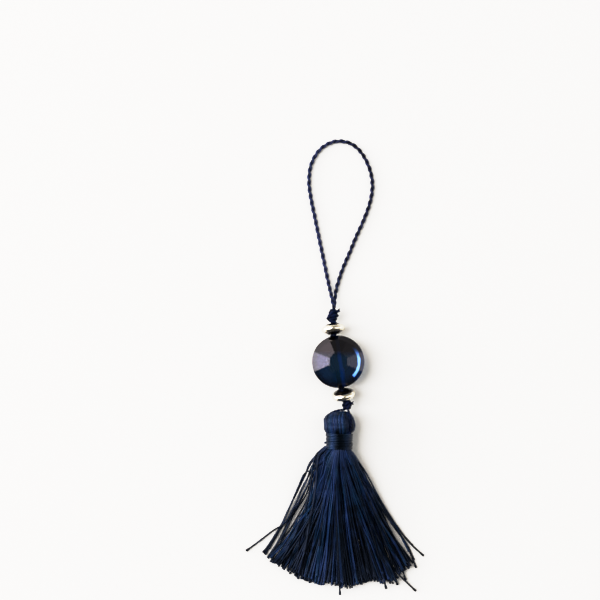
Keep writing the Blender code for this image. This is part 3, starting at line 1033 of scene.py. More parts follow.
@dataclass
class HeadTies:
    """The two thin legs that leave the lower knot and go round the tassel's head."""

    cord: PliedCord
    left: tuple[Triple, ...] = (
        (2.0, -14.3, 4.0), (1.7, -14.75, 4.4), (0.8, -14.7, 4.7), (-0.5, -14.95, 4.8),
        (-1.75, -15.4, 4.8), (-2.9, -16.15, 4.5), (-3.75, -16.95, 4.0), (-4.1, -17.8, 3.2),
        (-4.05, -18.8, 2.4), (-3.8, -20.0, 1.7))
    right: tuple[Triple, ...] = (
        (2.9, -14.4, 4.5), (3.15, -15.1, 5.2), (3.4, -15.75, 5.9), (3.6, -16.5, 6.6),
        (3.75, -17.6, 6.9), (3.8, -19.2, 6.85), (3.65, -20.9, 6.6), (3.5, -21.9, 6.35))

    def build(self, material: bpy.types.Material) -> None:
        """Sweep and dress both legs.

        Args:
            material: The cord's finish.
        """
        for name, node, corners in (("tie_leg_left", "tie_left", self.left),
                                    ("tie_leg_right", "tie_right", self.right)):
            dress(self.cord.sweep(name, [millimetres(corners)]), material, node)


# ---------------------------------------------------------------- bead and spacers


@dataclass
class CoinBead:
    """Coin bead, cut by main facets round an eight-sided table and by edge facets."""

    diameter: float = 16.0 * MM
    thickness: float = 8.0 * MM
    girdle: float = 3.0 * MM        # height of the plain rim
    sides: int = 96
    table: float = 5.2 * MM         # across its flats
    knee: float = 6.6 * MM          # radius at which the main facets end
    knee_drop: float = 1.25 * MM    # and how far below the table that is
    main_facets: int = 8
    edge_facets: int = 16
    hole: float = 2.5 * MM
    hole_lean: float = math.radians(8.8)
    worn_edge: float = 0.05 * MM    # width of the polish along each edge

    @property
    def middle(self) -> Vector:
        """Centre of the bead."""
        return Vector((0.0, 0.0, self.thickness / 2))

    def cut_round(self, count: int, first: float, near: Pair, far: Pair) -> None:
        """Grind facets all round, on both faces, in edit mode.

        Args:
            count: How many facets go round.
            first: Azimuth of the first one.
            near: Radius and height above the middle where a facet starts.
            far: Radius and height where it ends.
        """
        slope = Vector((far[0] - near[0], 0.0, far[1] - near[1])).normalized()
        for side in (1.0, -1.0):
            for index in range(count):
                turn = Matrix.Rotation(first + FULL_TURN * index / count, 3, "Z")
                bpy.ops.mesh.select_all(action="SELECT")
                bpy.ops.mesh.bisect(
                    plane_co=self.middle + turn @ Vector((near[0], 0.0, near[1] * side)),
                    plane_no=turn @ Vector((-slope.z, 0.0, slope.x * side)),
                    use_fill=True, clear_outer=True, threshold=MERGE)

    def build(self, material: bpy.types.Material, ground: bpy.types.Material) -> None:
        """Cut, drill, polish and dress the bead.

        Args:
            material: The crystal's finish.
            ground: The finish of the hole's wall.
        """
        deselect_all()
        bpy.ops.mesh.primitive_cylinder_add(
            vertices=self.sides, radius=self.diameter / 2, depth=self.thickness,
            location=self.middle)
        bead = bpy.context.object
        bead.name = bead.data.name = "crystal_bead"
        apply_place(bead)
        half = self.thickness / 2
        knee = (self.knee, half - self.knee_drop)
        with editing(bead):
            self.cut_round(self.main_facets, 0.0, (self.table / 2, half), knee)
            self.cut_round(self.edge_facets, math.pi / self.edge_facets, knee,
                           (self.diameter / 2, self.girdle / 2))
        tidy_mesh(bead)

        deselect_all()
        bpy.ops.mesh.primitive_cylinder_add(
            vertices=32, radius=self.hole / 2, depth=self.diameter * 1.5, location=self.middle,
            rotation=(math.pi / 2, 0.0, self.hole_lean))
        drill = bpy.context.object
        drill.data.materials.append(ground)
        bead.data.materials.append(material)
        pick(bead)
        bore = bead.modifiers.new("Bore", "BOOLEAN")
        bore.object = drill
        bore.solver = "EXACT"
        bore.material_mode = "TRANSFER"
        polish = bead.modifiers.new("Polish", "BEVEL")
        polish.width = self.worn_edge
        polish.segments = 1
        polish.limit_method = "ANGLE"
        polish.angle_limit = math.radians(8.0)
        apply_modifiers(bead)
        bpy.data.objects.remove(drill, do_unlink=True)
        tidy_mesh(bead)
        smooth(bead, 4.2)
        dress(bead, None, "bead")


@dataclass
class Spacer:
    """Turned saucer of plated alloy with a round rim."""

    name: str
    node: str
    centre: Vector
    lean: float                     # the +X end turned towards +Y
    pitch: float                    # the top turned towards +Y
    diameter: float = 7.3 * MM
    thickness: float = 3.3 * MM
    rim: float = 2.2 * MM
    hole: float = 2.6 * MM
    lip: float = 0.35 * MM
    steps: int = 96
    rim_steps: int = 14
    # radii at which the painted shade on its two faces begins to thin out and ends
    inner_painted_shade_radii: Pair = (2.55 * MM, 2.95 * MM)

    def profile(self) -> list[Pair]:
        """Outline the section: hub, hollow slope, round rim and back.

        Returns:
            Closed outline as (radius, height) pairs.
        """
        rim = self.rim / 2
        outer = self.diameter / 2 - rim
        hub = self.thickness / 2
        bore = self.hole / 2
        # the hub's edge is rounded by a tenth of a millimetre
        half = [(bore, hub - 0.12 * MM), (bore + 0.04 * MM, hub - 0.03 * MM),
                (bore + 0.14 * MM, hub), (bore + self.lip, hub - 0.03 * MM)]
        for share in (0.3, 0.55, 0.8):
            half.append((bore + self.lip + (outer - bore - self.lip) * share,
                         hub + (rim - hub) * share ** 0.8))
        arc = [(outer + rim * math.cos(angle), rim * math.sin(angle))
               for angle in np.linspace(math.pi / 2, -math.pi / 2, self.rim_steps + 1)]
        return half + arc + [(radius, -height) for radius, height in reversed(half)]

    def build(self, material: bpy.types.Material) -> None:
        """Spin and dress the spacer.

        Args:
            material: The plate's finish.
        """
        deselect_all()
        outline = self.profile()
        bpy.ops.mesh.primitive_circle_add(vertices=len(outline), fill_type="NOTHING")
        spacer = bpy.context.object
        spacer.name = spacer.data.name = self.name
        for vertex, (radius, height) in zip(spacer.data.vertices, outline):
            vertex.co = (radius, 0.0, height)
        with editing(spacer):
            bpy.ops.mesh.spin(steps=self.steps, angle=FULL_TURN, center=(0.0, 0.0, 0.0),
                              axis=(0.0, 0.0, 1.0))
        tidy_mesh(spacer)
        # painted shade on the faces inside the rim, round the hole
        radii = np.linalg.norm(point_places(spacer)[:, :2], axis=1)
        set_attribute(spacer, "tarnish", np.interp(radii, self.inner_painted_shade_radii, (1.0, 0.0)))
        spacer.rotation_euler = (math.pi / 2 - self.pitch, 0.0, self.lean)
        spacer.location = self.centre
        apply_place(spacer)
        smooth(spacer, 40.0)
        dress(spacer, material, self.node)


# ---------------------------------------------------------------- tassel


@dataclass(frozen=True)
class Section:
    """One section of the tassel's head, across Y, in millimetres."""

    y: float
    left: float
    right: float
    low: float
    high: float

    @property
    def middle(self) -> Pair:
        """Middle of the section, as (x, z)."""
        return (self.left + self.right) / 2, (self.low + self.high) / 2

    @property
    def half(self) -> Pair:
        """Half its width and half its height."""
        return (self.right - self.left) / 2, (self.high - self.low) / 2


@dataclass
class TasselHead:
    """The yarn folded over the tie: a padded core under layers of strands."""

    sections: tuple[Section, ...] = (
        Section(-15.2, -0.6, 2.4, 3.5, 5.4), Section(-15.5, -2.1, 3.5, 2.4, 6.2),
        Section(-16.4, -4.0, 4.6, 0.95, 7.3), Section(-17.5, -4.65, 5.2, 0.3, 7.9),
        Section(-19.3, -4.5, 5.5, 0.0, 8.2), Section(-20.7, -4.4, 5.25, 0.15, 8.1),
        Section(-21.35, -4.0, 4.75, 0.5, 7.75), Section(-21.9, -3.3, 4.0, 0.95, 7.3),
        Section(-27.4, -3.1, 3.6, 1.05, 7.1),
    )
    sides: int = 48
    strands: int = 44
    layers: int = 3
    stations: int = 30
    strand_radius: float = 0.25     # millimetres, as are the other sizes here
    taper: float = 0.3              # share by which a strand is thinner over the top
    late: int = 6                   # more keeps it thick further up
    upright: float = 0.75           # less gathers the stations nearer to the top
    searched: int = 80              # places at which a strand's top is looked for
    strand_map: Triple = (18.0, 1.6, 3.1)   # its length, its girth, shift between two groups
    first_turn: float = 1e-4        # keeps each ring's first point past straight up
    core_tone: float = 0.45
    core_inset: float = 0.36        # how far under the outline the core lies
    cover_inset: float = 0.26       # and the first layer of strands
    layer_inset: float = 0.13       # and each layer under the one before
    # how much strands vary: across, in their pitch, in depth, and in their bow to the side
    loose: Triple = (0.3, 0.12, 0.09)
    parallel: float = 0.6           # share by which strands run side by side, not to a pole
    steepest: float = 0.97          # sine of the furthest turn at which a strand is laid
    shoulder: float = -18.0         # below it no strand ends
    tones: int = 8
    tone_wave: Triple = (0.8, 9.0, 2.0)     # height, across, by layer
    tone_spread: float = 1.5
    # shadow over the binding: places down the head and how deep it is, its middle, its width
    # and its depth; then places across, and how much darker the side turned from the light is
    shadow_fall: tuple[Pair, ...] = ((-21.9, 1.0), (-20.2, 0.0))
    shadow: Triple = (-0.5, 1.8, 0.7)
    turned: tuple[Pair, ...] = ((1.6, 0.0), (2.6, 0.28))
    groove_turn: float = math.radians(42.0)
    groove_width: float = math.radians(9.0)
    groove_depth: float = 0.85
    groove_ends: Pair = (-15.4, -21.37)
    cover_end: float = -21.95
    seed: int = 11

    def middle_and_half(self, y: float) -> Quad:
        """Interpolate the section at one place along the head.

        Args:
            y: The place, in millimetres.

        Returns:
            Its middle x and z, then half its width and height.
        """
        stations = [-section.y for section in self.sections]
        columns = zip(*[(*section.middle, *section.half) for section in self.sections])
        return tuple(float(np.interp(-y, stations, column)) for column in columns)

    def point(self, y: float, turn: float, inset: float) -> Vector:
        """Find a point under the head's surface.

        Args:
            y: Place along the head, in millimetres.
            turn: Angle from straight up towards +X.
            inset: How far under the surface, in millimetres.

        Returns:
            The point, in metres.
        """
        middle_x, middle_z, half_x, half_z = self.middle_and_half(y)
        top, bottom = self.groove_ends
        if bottom <= y <= top:
            offset = (turn - self.groove_turn + math.pi) % FULL_TURN - math.pi
            inset += self.groove_depth * math.exp(-(offset / self.groove_width) ** 2)
        return Vector((middle_x + (half_x - inset) * math.sin(turn), y,
                       middle_z + (half_z - inset) * math.cos(turn))) * MM

    def core(self) -> bpy.types.Object:
        """Extrude the padded core ring by ring.

        Returns:
            A closed body a little inside the head's outline.
        """
        deselect_all()
        bpy.ops.mesh.primitive_circle_add(vertices=self.sides, fill_type="NGON")
        core = bpy.context.object
        turns = [FULL_TURN * index / self.sides for index in range(self.sides)]
        with editing(core):
            for number, section in enumerate(self.sections):
                if number:
                    bpy.ops.mesh.extrude_region_move()
                shape = bmesh.from_edit_mesh(core.data)
                ring = [vertex for vertex in shape.verts if vertex.select]
                if number:
                    before_x, before_z = (value * MM for value in self.sections[number - 1].middle)
                    ring.sort(key=lambda vertex: math.atan2(
                        vertex.co.x - before_x, vertex.co.z - before_z) % FULL_TURN)
                for vertex, turn in zip(ring, turns):
                    vertex.co = self.point(section.y, turn + self.first_turn, self.core_inset)
                bmesh.update_edit_mesh(core.data)
        tidy_mesh(core)
        with editing(core):
            bpy.ops.uv.cube_project(cube_size=MM)
        set_attribute(core, "tone", self.core_tone)
        smooth(core, 60.0)
        return core

    def fold(self, across: float, inset: float, sway: float) -> Tube:
        """Lay one strand from the neck up the front, over the top and down the back.

        Args:
            across: Where it lies from left, -1, to right, 1.
            inset: How far under the surface it runs, in millimetres.
            sway: How far it bows to the side, as a share of the head's width.

        Returns:
            The strand.
        """
        first, last = self.sections[0].y, self.cover_end
        widest = max(section.half[0] for section in self.sections)

        def turn_at(y: float) -> tuple[float, bool]:
            """Find the strand's turn at one place, and whether the head is wide enough there."""
            _, _, half_x, _ = self.middle_and_half(y)
            lane = widest * self.parallel + half_x * (1.0 - self.parallel)
            bowed = across + sway * math.sin(math.pi * (y - last) / (first - last))
            share = bowed * lane / half_x
            return (math.asin(max(-self.steepest, min(self.steepest, share))),
                    abs(share) < self.steepest)

        heights = [y for y in np.linspace(last, first, self.searched)
                   if turn_at(float(y))[1] or y < self.shoulder]
        top = float(heights[-1])
        points, radii = [], []
        for step in range(self.stations + 1):
            share = step / self.stations
            rise = math.sin(math.pi * share) ** self.upright
            y = last + (top - last) * rise
            turn = turn_at(y)[0]
            if share > 0.5:
                turn = math.pi - turn
            points.append(self.point(y, turn, inset))
            radii.append(self.strand_radius * (1.0 - self.taper * rise ** self.late) * MM)
        return Tube(points, radii)

    def tone(self, number: int, places: np.ndarray) -> np.ndarray:
        """Find how light strands are: darker by the binding and on the side turned away.

        Args:
            number: Their group's number.
            places: Places on them, in millimetres.

        Returns:
            A tone for each place.
        """
        middle, width, depth = self.shadow
        shade = (np.interp(places[:, 1], *zip(*self.shadow_fall))
                 * np.exp(-((places[:, 0] - middle) / width) ** 2))
        turned = np.interp(places[:, 0], *zip(*self.turned))
        return number / (self.tones - 1.0) - depth * shade - turned

    def cover(self) -> bpy.types.Object:
        """Fold strands over the core, side by side in layers.

        Returns:
            The strands as one mesh, with a tone for each group.
        """
        chance = random.Random(self.seed)
        groups: dict[int, list[Tube]] = {}
        aside, deep, sway = self.loose
        height, waves, step = self.tone_wave
        for layer in range(self.layers):
            for index in range(self.strands):
                lane = index + 0.5 * layer + chance.uniform(-aside, aside)
                across = 2.0 * lane / self.strands - 1.0
                inset = self.cover_inset + self.layer_inset * layer + chance.uniform(-deep, deep)
                strand = self.fold(across, inset, chance.uniform(-sway, sway))
                tone = (self.tones / 2 + height * math.sin(waves * across + step * layer)
                        + chance.gauss(0.0, self.tone_spread))
                groups.setdefault(min(self.tones - 1, max(0, round(tone))), []).append(strand)
        return sweep_groups("head_cover", groups, self.strand_map, self.tone)

    def build(self, material: bpy.types.Material) -> None:
        """Build and dress the head.

        Args:
            material: The yarn's finish.
        """
        head = join("tassel_head", [self.core(), self.cover()])
        dress(head, material, "tassel_yarn")


@dataclass(frozen=True)
class Lock:
    """Strands of one layer that hang together.

    Attributes:
        start: Its left end, from -1 at the left of the fan to 1 at the right.
        end: Its right end.
        gather: How much narrower it is at the hem than its share of the fan.
        shift: How far it leans to the side, as a share of the fan.
        lift: How far it lies over its layer half way down, in millimetres.
        short: How far above the hem it ends, in millimetres.
        tone: How much lighter than its layer it is.
        root: How far to the side it leaves the neck, as a share of the neck.
        bow: How far it bends to the side half way down, in millimetres.
    """

    start: float
    end: float
    gather: float
    shift: float
    lift: float
    short: float
    tone: float
    root: float
    bow: float


@dataclass
class Skirt:
    """The cut yarn below the binding: layers of locks that fan out and settle."""

    counts: tuple[int, ...] = (104, 104, 98, 84, 62)     # strands in each layer, from below
    settle: tuple[float, ...] = (0.4, 0.52, 0.66, 0.82, 0.97)
    layer_rise: float = 0.5         # millimetres, as are the other sizes here
    # two sections: Y, then the middle and half the size on X and Z
    neck: tuple[float, Pair, Pair] = (-26.3, (0.28, 4.1), (3.15, 2.85))
    flare: tuple[float, Pair, Pair] = (-29.0, (-0.1, 3.75), (5.6, 3.15))
    fan_middle: float = 0.5
    fan_half: float = 22.2
    # hem, and how far out the fan's two sides are at shares of the way down to it
    hem_line: tuple[Pair, ...] = (
        (-21.8, -59.6), (-16.9, -63.5), (-11.7, -66.4), (-5.6, -68.0), (1.2, -68.7),
        (6.0, -68.3), (10.5, -66.9), (14.0, -67.3), (17.9, -66.9), (19.3, -64.2),
        (22.8, -62.0))
    left_fall: tuple[Pair, ...] = (
        (0.0, 0.0), (0.14, 0.09), (0.32, 0.16), (0.46, 0.27), (0.58, 0.4), (0.73, 0.58),
        (0.88, 0.8), (1.0, 1.0))
    right_fall: tuple[Pair, ...] = (
        (0.0, 0.0), (0.14, 0.12), (0.31, 0.27), (0.55, 0.5), (0.76, 0.72), (1.0, 1.0))
    bell: float = 1.12              # more than 1 spreads the strands later on their way
    radii: Triple = (0.16, 0.2, 0.25)   # at the root, at a third, at the end
    bloom: Pair = (1.05, 1.65)      # least and most swelling of a cut end
    bloom_tip: float = 0.9          # share of that size at the very end
    stray_bloom: Pair = (1.3, 1.7)
    # loose strands: where in the last step the end swells, and how much of it there; share
    # of the first X at the root, and how far up the neck that is; how much thicker they are,
    # and their largest radius; how far apart their points are
    bloom_start: Pair = (0.55, 0.7)
    stray_root: Pair = (0.62, 0.9)
    stray_girth: Pair = (1.2, 0.27)
    stray_step: float = 1.4
    stations: int = 17
    end_stations: tuple[float, ...] = (0.978, 0.99, 1.0)
    lock_size: Pair = (0.07, 0.24)
    lock_gather: Pair = (0.03, 0.35)
    lock_lift: Pair = (-0.5, 0.6)
    # how much locks vary: shift, shortness, tone, root and bow
    lock_loose: tuple[float, ...] = (0.015, 0.8, 0.26, 0.2, 0.6)
    # how much single strands vary: rise in their layer, root, end, lift, bow and wave
    loose_rise: float = 0.48
    loose_root: float = 0.1
    loose_end: float = 0.008
    loose_lift: float = 0.25
    loose_bow: float = 0.4
    loose_wave: float = 0.22
    beats: Pair = (2.0, 5.0)        # half waves along a strand
    swing: float = 22.0             # bow of a lock for its lean
    uneven_cut: Pair = (0.5, 0.9)   # how far past and before the hem ends lie
    cut_early: float = 0.07         # share of strands that end far above it
    early: Pair = (1.0, 5.0)
    # ends of a stretch from left to right, and the share of its strands that is missing
    bare: tuple[Triple, ...] = (
        (-1.0, -0.94, 0.9), (-0.94, -0.84, 0.2), (-0.84, -0.77, 0.75), (-0.77, -0.7, 0.15),
        (0.86, 1.0, 0.2))
    tones: int = 10
    # painted light and shade: the upper layers are painted lighter, the lower ones darker
    top_lighter: float = 0.5        # shares of the way from the darkest to the lightest
    bottom_darker: float = 0.05
    # painted shade at the right of the upper layers, on the side turned from the light
    right_darker: float = 0.06      # at the right of the top layer
    loose_tone: float = 0.15        # how much single strands vary
    strand_map: Triple = (42.0, 1.4, 5.3)   # its length, its girth, shift between two groups
    # places down the skirt, and how much lighter it is painted there: painted light near the
    # neck, painted shade towards the hem
    fading: tuple[Pair, ...] = ((30.0, 0.36), (48.0, 0.0), (67.0, -0.34))
    # middle and half width of the locks that lie in light or shade, and how much
    shades: tuple[Triple, ...] = (
        (-0.33, 0.06, 0.5), (-0.2, 0.05, -0.35), (0.01, 0.05, 0.5), (0.12, 0.05, -0.3),
        (0.19, 0.025, 0.3), (0.36, 0.14, -0.28), (0.63, 0.035, 0.5), (-0.62, 0.08, -0.25))
    seed: int = 31
    # corners of the loose strands
    strays: tuple[tuple[Triple, ...], ...] = (
        ((-4.6, -26.2, 4.6), (-6.4, -28.1, 4.0), (-8.8, -31.0, 3.2), (-10.0, -34.2, 2.6),
         (-12.1, -38.4, 1.9), (-13.9, -42.3, 1.4), (-15.6, -46.0, 0.9), (-17.2, -49.5, 0.7),
         (-20.2, -54.4, 0.5), (-23.0, -58.4, 0.4)),
        ((-4.7, -26.5, 3.7), (-6.5, -28.6, 3.3), (-8.7, -31.7, 2.6), (-10.4, -35.4, 1.9),
         (-12.6, -39.9, 1.2), (-14.4, -43.6, 0.8), (-16.2, -47.6, 0.5), (-18.4, -51.8, 0.4),
         (-22.3, -57.8, 0.35)),
        ((-4.4, -26.4, 5.2), (-6.1, -28.5, 4.6), (-8.3, -32.4, 3.6), (-9.6, -36.2, 2.8),
         (-11.2, -39.4, 2.2), (-12.8, -42.9, 1.6), (-14.4, -46.0, 1.2), (-15.6, -48.4, 0.9),
         (-18.2, -51.9, 0.6), (-22.4, -58.9, 0.4)),
        ((-4.3, -26.8, 5.5), (-6.4, -29.6, 4.6), (-8.0, -33.6, 3.6), (-9.2, -37.4, 2.9),
         (-10.5, -40.4, 2.3), (-12.0, -43.4, 1.7), (-13.6, -46.4, 1.2), (-15.4, -50.0, 0.8),
         (-17.8, -54.2, 0.5), (-21.6, -59.9, 0.4)),
        ((-4.2, -27.0, 4.2), (-6.2, -30.2, 3.4), (-7.8, -34.6, 2.6), (-9.8, -40.6, 1.8),
         (-13.2, -46.0, 1.1), (-15.9, -51.2, 0.7), (-17.6, -55.4, 0.5), (-20.7, -61.2, 0.4)),
        ((-4.5, -26.6, 3.0), (-6.0, -29.2, 2.6), (-8.6, -34.2, 1.9), (-11.2, -39.0, 1.2),
         (-13.4, -44.4, 0.7), (-16.9, -52.2, 0.5), (-20.6, -58.9, 0.35)),
        ((-2.6, -28.0, 6.2), (-4.6, -30.4, 5.4), (-7.6, -32.8, 4.2), (-10.2, -34.0, 3.2),
         (-12.0, -37.8, 2.3), (-14.7, -44.2, 1.3), (-17.6, -50.9, 0.8), (-21.2, -57.2, 0.5)),
        ((-4.2, -27.8, 4.8), (-9.6, -38.2, 3.0), (-14.2, -46.6, 1.8), (-17.0, -49.8, 1.3),
         (-19.9, -51.6, 0.9), (-24.2, -54.9, 0.45), (-28.2, -57.8, 0.35)),
        ((4.4, -28.0, 4.4), (8.2, -33.4, 3.2), (12.5, -41.4, 1.9), (16.0, -47.2, 1.2),
         (19.0, -51.6, 0.8), (22.2, -55.6, 0.5), (26.2, -59.3, 0.35)),
        ((4.2, -28.4, 4.9), (9.0, -36.8, 3.4), (13.2, -44.6, 2.2), (16.8, -50.0, 1.5),
         (19.9, -54.2, 1.0), (21.9, -58.0, 0.7), (23.9, -62.9, 0.4)),
        ((4.4, -28.6, 3.6), (9.8, -37.6, 2.4), (14.6, -45.9, 1.4), (18.9, -52.6, 0.8),
         (21.6, -56.8, 0.5), (23.2, -60.6, 0.35)),
        ((3.0, -28.2, 6.2), (7.4, -42.0, 4.9), (12.6, -55.0, 3.3), (15.7, -60.9, 2.5),
         (18.7, -65.0, 1.4), (23.7, -69.9, 0.35)),
        ((3.4, -28.2, 6.0), (9.6, -42.6, 4.4), (15.4, -54.6, 2.9), (19.2, -62.2, 1.6),
         (20.6, -66.6, 0.6)),
        ((3.6, -28.2, 5.6), (9.0, -42.0, 4.2), (14.6, -56.0, 2.9), (16.7, -62.8, 1.8),
         (18.1, -68.0, 0.7)),
        ((0.2, -28.0, 6.5), (-0.9, -40.0, 5.2), (-0.3, -55.0, 3.6), (0.5, -70.7, 2.3)),
        ((2.0, -28.0, 6.4), (7.2, -43.0, 4.8), (11.6, -57.0, 3.2), (14.6, -69.0, 1.8)),
    )
    # dark lock that bulges out under the left of the binding
    tuft: tuple[Triple, ...] = (
        (-3.8, -26.7, 4.4), (-4.9, -27.7, 4.5), (-5.6, -29.2, 4.3), (-5.7, -31.2, 3.8),
        (-5.8, -35.0, 3.1), (-6.4, -41.0, 2.3), (-7.6, -48.0, 1.7), (-9.0, -57.0, 1.2))
    tuft_strands: int = 16
    tuft_tone: int = -2
    tuft_bloom: float = 1.2
    tuft_size: Triple = (0.42, 0.3, 0.5)    # spread of its strands
    tuft_spread: float = 0.4        # how much more they spread from one corner to the next

    def hem(self, x: float) -> float:
        """Find where the hem lies at one place across the fan."""
        return float(np.interp(x, *zip(*self.hem_line)))

    def radius(self, share: float) -> float:
        """Find a strand's radius at a share of its length, in metres."""
        return float(np.interp(share, (0.0, 0.35, 1.0), self.radii)) * MM

    def spread(self, place: float, share: float) -> float:
        """Find how far out a strand is on its way from the neck to its own end.

        Args:
            place: Where it is from left, -1, to right, 1.
            share: The share of its way down.

        Returns:
            A share of its own way out.
        """
        side = self.left_fall if place < 0.0 else self.right_fall
        outer = float(np.interp(share, *zip(*side)))
        weight = abs(place) ** 1.5
        return share ** self.bell * (1.0 - weight) + outer * weight

    def locks(self, chance: random.Random) -> list[Lock]:
        """Divide one layer into locks from left to right.

        Args:
            chance: Source of their differences.

        Returns:
            The locks.
        """
        locks, start = [], -1.0
        shift, short, tone, root, bow = self.lock_loose
        while start < 1.0:
            end = min(1.0, start + chance.uniform(*self.lock_size))
            locks.append(Lock(
                start, end, chance.uniform(*self.lock_gather), chance.gauss(0.0, shift),
                chance.uniform(*self.lock_lift), abs(chance.gauss(0.0, short)),
                chance.gauss(0.0, tone), chance.gauss(0.0, root), chance.gauss(0.0, bow)))
            start = end
        return locks

    def strand(self, chance: random.Random, layer: int, place: float, lock: Lock) -> Tube:
        """Draw one strand of a layer.

        Args:
            chance: Source of its small differences.
            layer: Its layer, from below.
            place: Where it is from left, -1, to right, 1.
            lock: The lock that it hangs in.

        Returns:
            The strand.
        """
        layers = len(self.counts)
        rise = layer + 0.5 + chance.uniform(-self.loose_rise, self.loose_rise)
        rise = rise / layers * 2.0 - 1.0
        width = math.sqrt(max(0.0, 1.0 - rise * rise))
        root = max(-1.0, min(1.0, place + lock.root + chance.gauss(0.0, self.loose_root)))
        neck, flare = (
            Vector((middle[0] + half[0] * root * width, y, middle[1] + half[1] * rise))
            for y, middle, half in (self.neck, self.flare))
        middle = (lock.start + lock.end) / 2
        gathered = middle + (place - middle) * (1.0 - lock.gather) + lock.shift
        x = self.fan_middle + self.fan_half * (gathered + chance.gauss(0.0, self.loose_end))
        past, before = self.uneven_cut
        short = lock.short - past + abs(chance.gauss(0.0, before))
        if chance.random() < self.cut_early:
            short += chance.uniform(*self.early)
        tip = Vector((x, self.hem(x) + short, 0.0))
        bow = (chance.gauss(0.0, self.loose_bow)
               + (lock.bow + self.swing * lock.shift) * (1.0 - place * place))
        wave, beat = chance.gauss(0.0, self.loose_wave), chance.uniform(*self.beats)
        lift = lock.lift + chance.uniform(-self.loose_lift, self.loose_lift)
        bloom = chance.uniform(*self.bloom)
        points, radii = [neck * MM], [self.radius(0.0)]
        shares = [step / self.stations for step in range(self.stations)]
        for share in (*shares, *self.end_stations):
            size = self.radius(share) / MM
            if share > self.end_stations[0]:
                size *= bloom * (self.bloom_tip if share == 1.0 else 1.0)
            lifted = lift * math.sin(math.pi * share ** 0.8)
            rest = size + max(0.0, layer * self.layer_rise + lifted)
            drop = max(0.0, 1.0 - share / self.settle[layer]) ** 1.5
            point = flare.lerp(tip, share)
            point.x = (flare.x + (tip.x - flare.x) * self.spread(place, share)
                       + bow * math.sin(math.pi * share)
                       + wave * math.sin(beat * math.pi * share) * min(1.0, 4.0 * share))
            point.z = max(size, rest + (flare.z - rest) * drop)
            points.append(point * MM)
            radii.append(size * MM)
        return Tube(points, radii)

    def stray(self, corners: tuple[Triple, ...], bloom: float) -> Tube:
        """Draw one loose strand along its own corners, from inside the neck.

        Args:
            corners: The places that it passes, in millimetres.
            bloom: How much its cut end swells.

        Returns:
            The strand.
        """
        inward, above = self.stray_root
        start = Vector((corners[0][0] * inward, self.neck[0] + above, corners[0][2])) * MM
        points, _ = smooth_route([start, *millimetres(corners)], self.stray_step * MM)
        girth, thickest = self.stray_girth
        radii = [min(self.radius(float(share)) * girth, thickest * MM)
                 for share in np.linspace(0.0, 1.0, len(points))]
        place, part = self.bloom_start
        points.insert(-1, points[-2].lerp(points[-1], place))
        radii.insert(-1, radii[-1])
        radii[-1] *= bloom
        radii[-2] *= 1.0 + (bloom - 1.0) * part
        for point, radius in zip(points, radii):
            point.z = max(point.z, radius)
        return Tube(points, radii)

    def tone(self, number: int, places: np.ndarray) -> np.ndarray:
        """Find how light strands are painted: lightest at the neck and darkest at the hem, as
        painted light and shade.

        Args:
            number: Their group's number.
            places: Places on them, in millimetres.

        Returns:
            A tone for each place.
        """
        return number / (self.tones - 1) + np.interp(-places[:, 1], *zip(*self.fading))

    def level(self, chance: random.Random, layer: int, place: float, lock: Lock) -> float:
        """Find which share of the way from the darkest to the lightest group a strand is in.

        Args:
            chance: Source of its small difference.
            layer: Its layer, from below.
            place: Where it is from left, -1, to right, 1.
            lock: The lock that it hangs in.

        Returns:
            A share from 0 to just under 1.
        """
        height = layer / (len(self.counts) - 1)
        # painted light on the upper layers, painted shade on the lower ones and on the right of the
        # upper ones; the shades add painted light and shade to single locks
        share = (self.top_lighter * height - self.bottom_darker + lock.tone
                 - self.right_darker * place * height)
        if layer > 1:
            share += sum(shade for middle, half, shade in self.shades
                         if abs(place - middle) < half)
        return min(0.999, max(0.0, share + chance.gauss(0.0, self.loose_tone)))

    def fan(self, chance: random.Random) -> dict[int, list[Tube]]:
        """Draw the strands of all layers, without those that are missing.

        Args:
            chance: Source of their differences.

        Returns:
            The strands of each tone, from 0 for the darkest.
        """
        groups: dict[int, list[Tube]] = {}
        for layer, count in enumerate(self.counts):
            locks = self.locks(chance)
            for index in range(count):
                place = 2.0 * (index + 0.5 + chance.uniform(-0.45, 0.45)) / count - 1.0
                lock = next((lock for lock in locks if lock.end >= place), locks[-1])
                strand = self.strand(chance, layer, place, lock)
                group = int(self.level(chance, layer, place, lock) * self.tones)
                missing = sum(part for start, end, part in self.bare if start < place < end)
                if chance.random() >= missing:
                    groups.setdefault(group, []).append(strand)
        return groups

    def build(self, material: bpy.types.Material) -> None:
        """Draw, sweep and dress all strands.

        Args:
            material: The yarn's finish.
        """
        chance = random.Random(self.seed)
        groups = self.fan(chance)
        for number, corners in enumerate(self.strays):
            # half of the loose strands are darker than the darkest lock
            groups.setdefault(number % 2 - 1, []).append(
                self.stray(corners, chance.uniform(*self.stray_bloom)))
        for _ in range(self.tuft_strands):
            shift = Vector([chance.gauss(0.0, size) for size in self.tuft_size])
            corners = tuple(tuple(Vector(corner) + shift * (1.0 + self.tuft_spread * number))
                            for number, corner in enumerate(self.tuft))
            groups.setdefault(self.tuft_tone, []).append(self.stray(corners, self.tuft_bloom))
        skirt = sweep_groups("tassel_skirt", groups, self.strand_map, self.tone)
        dress(skirt, material, "tassel_yarn")


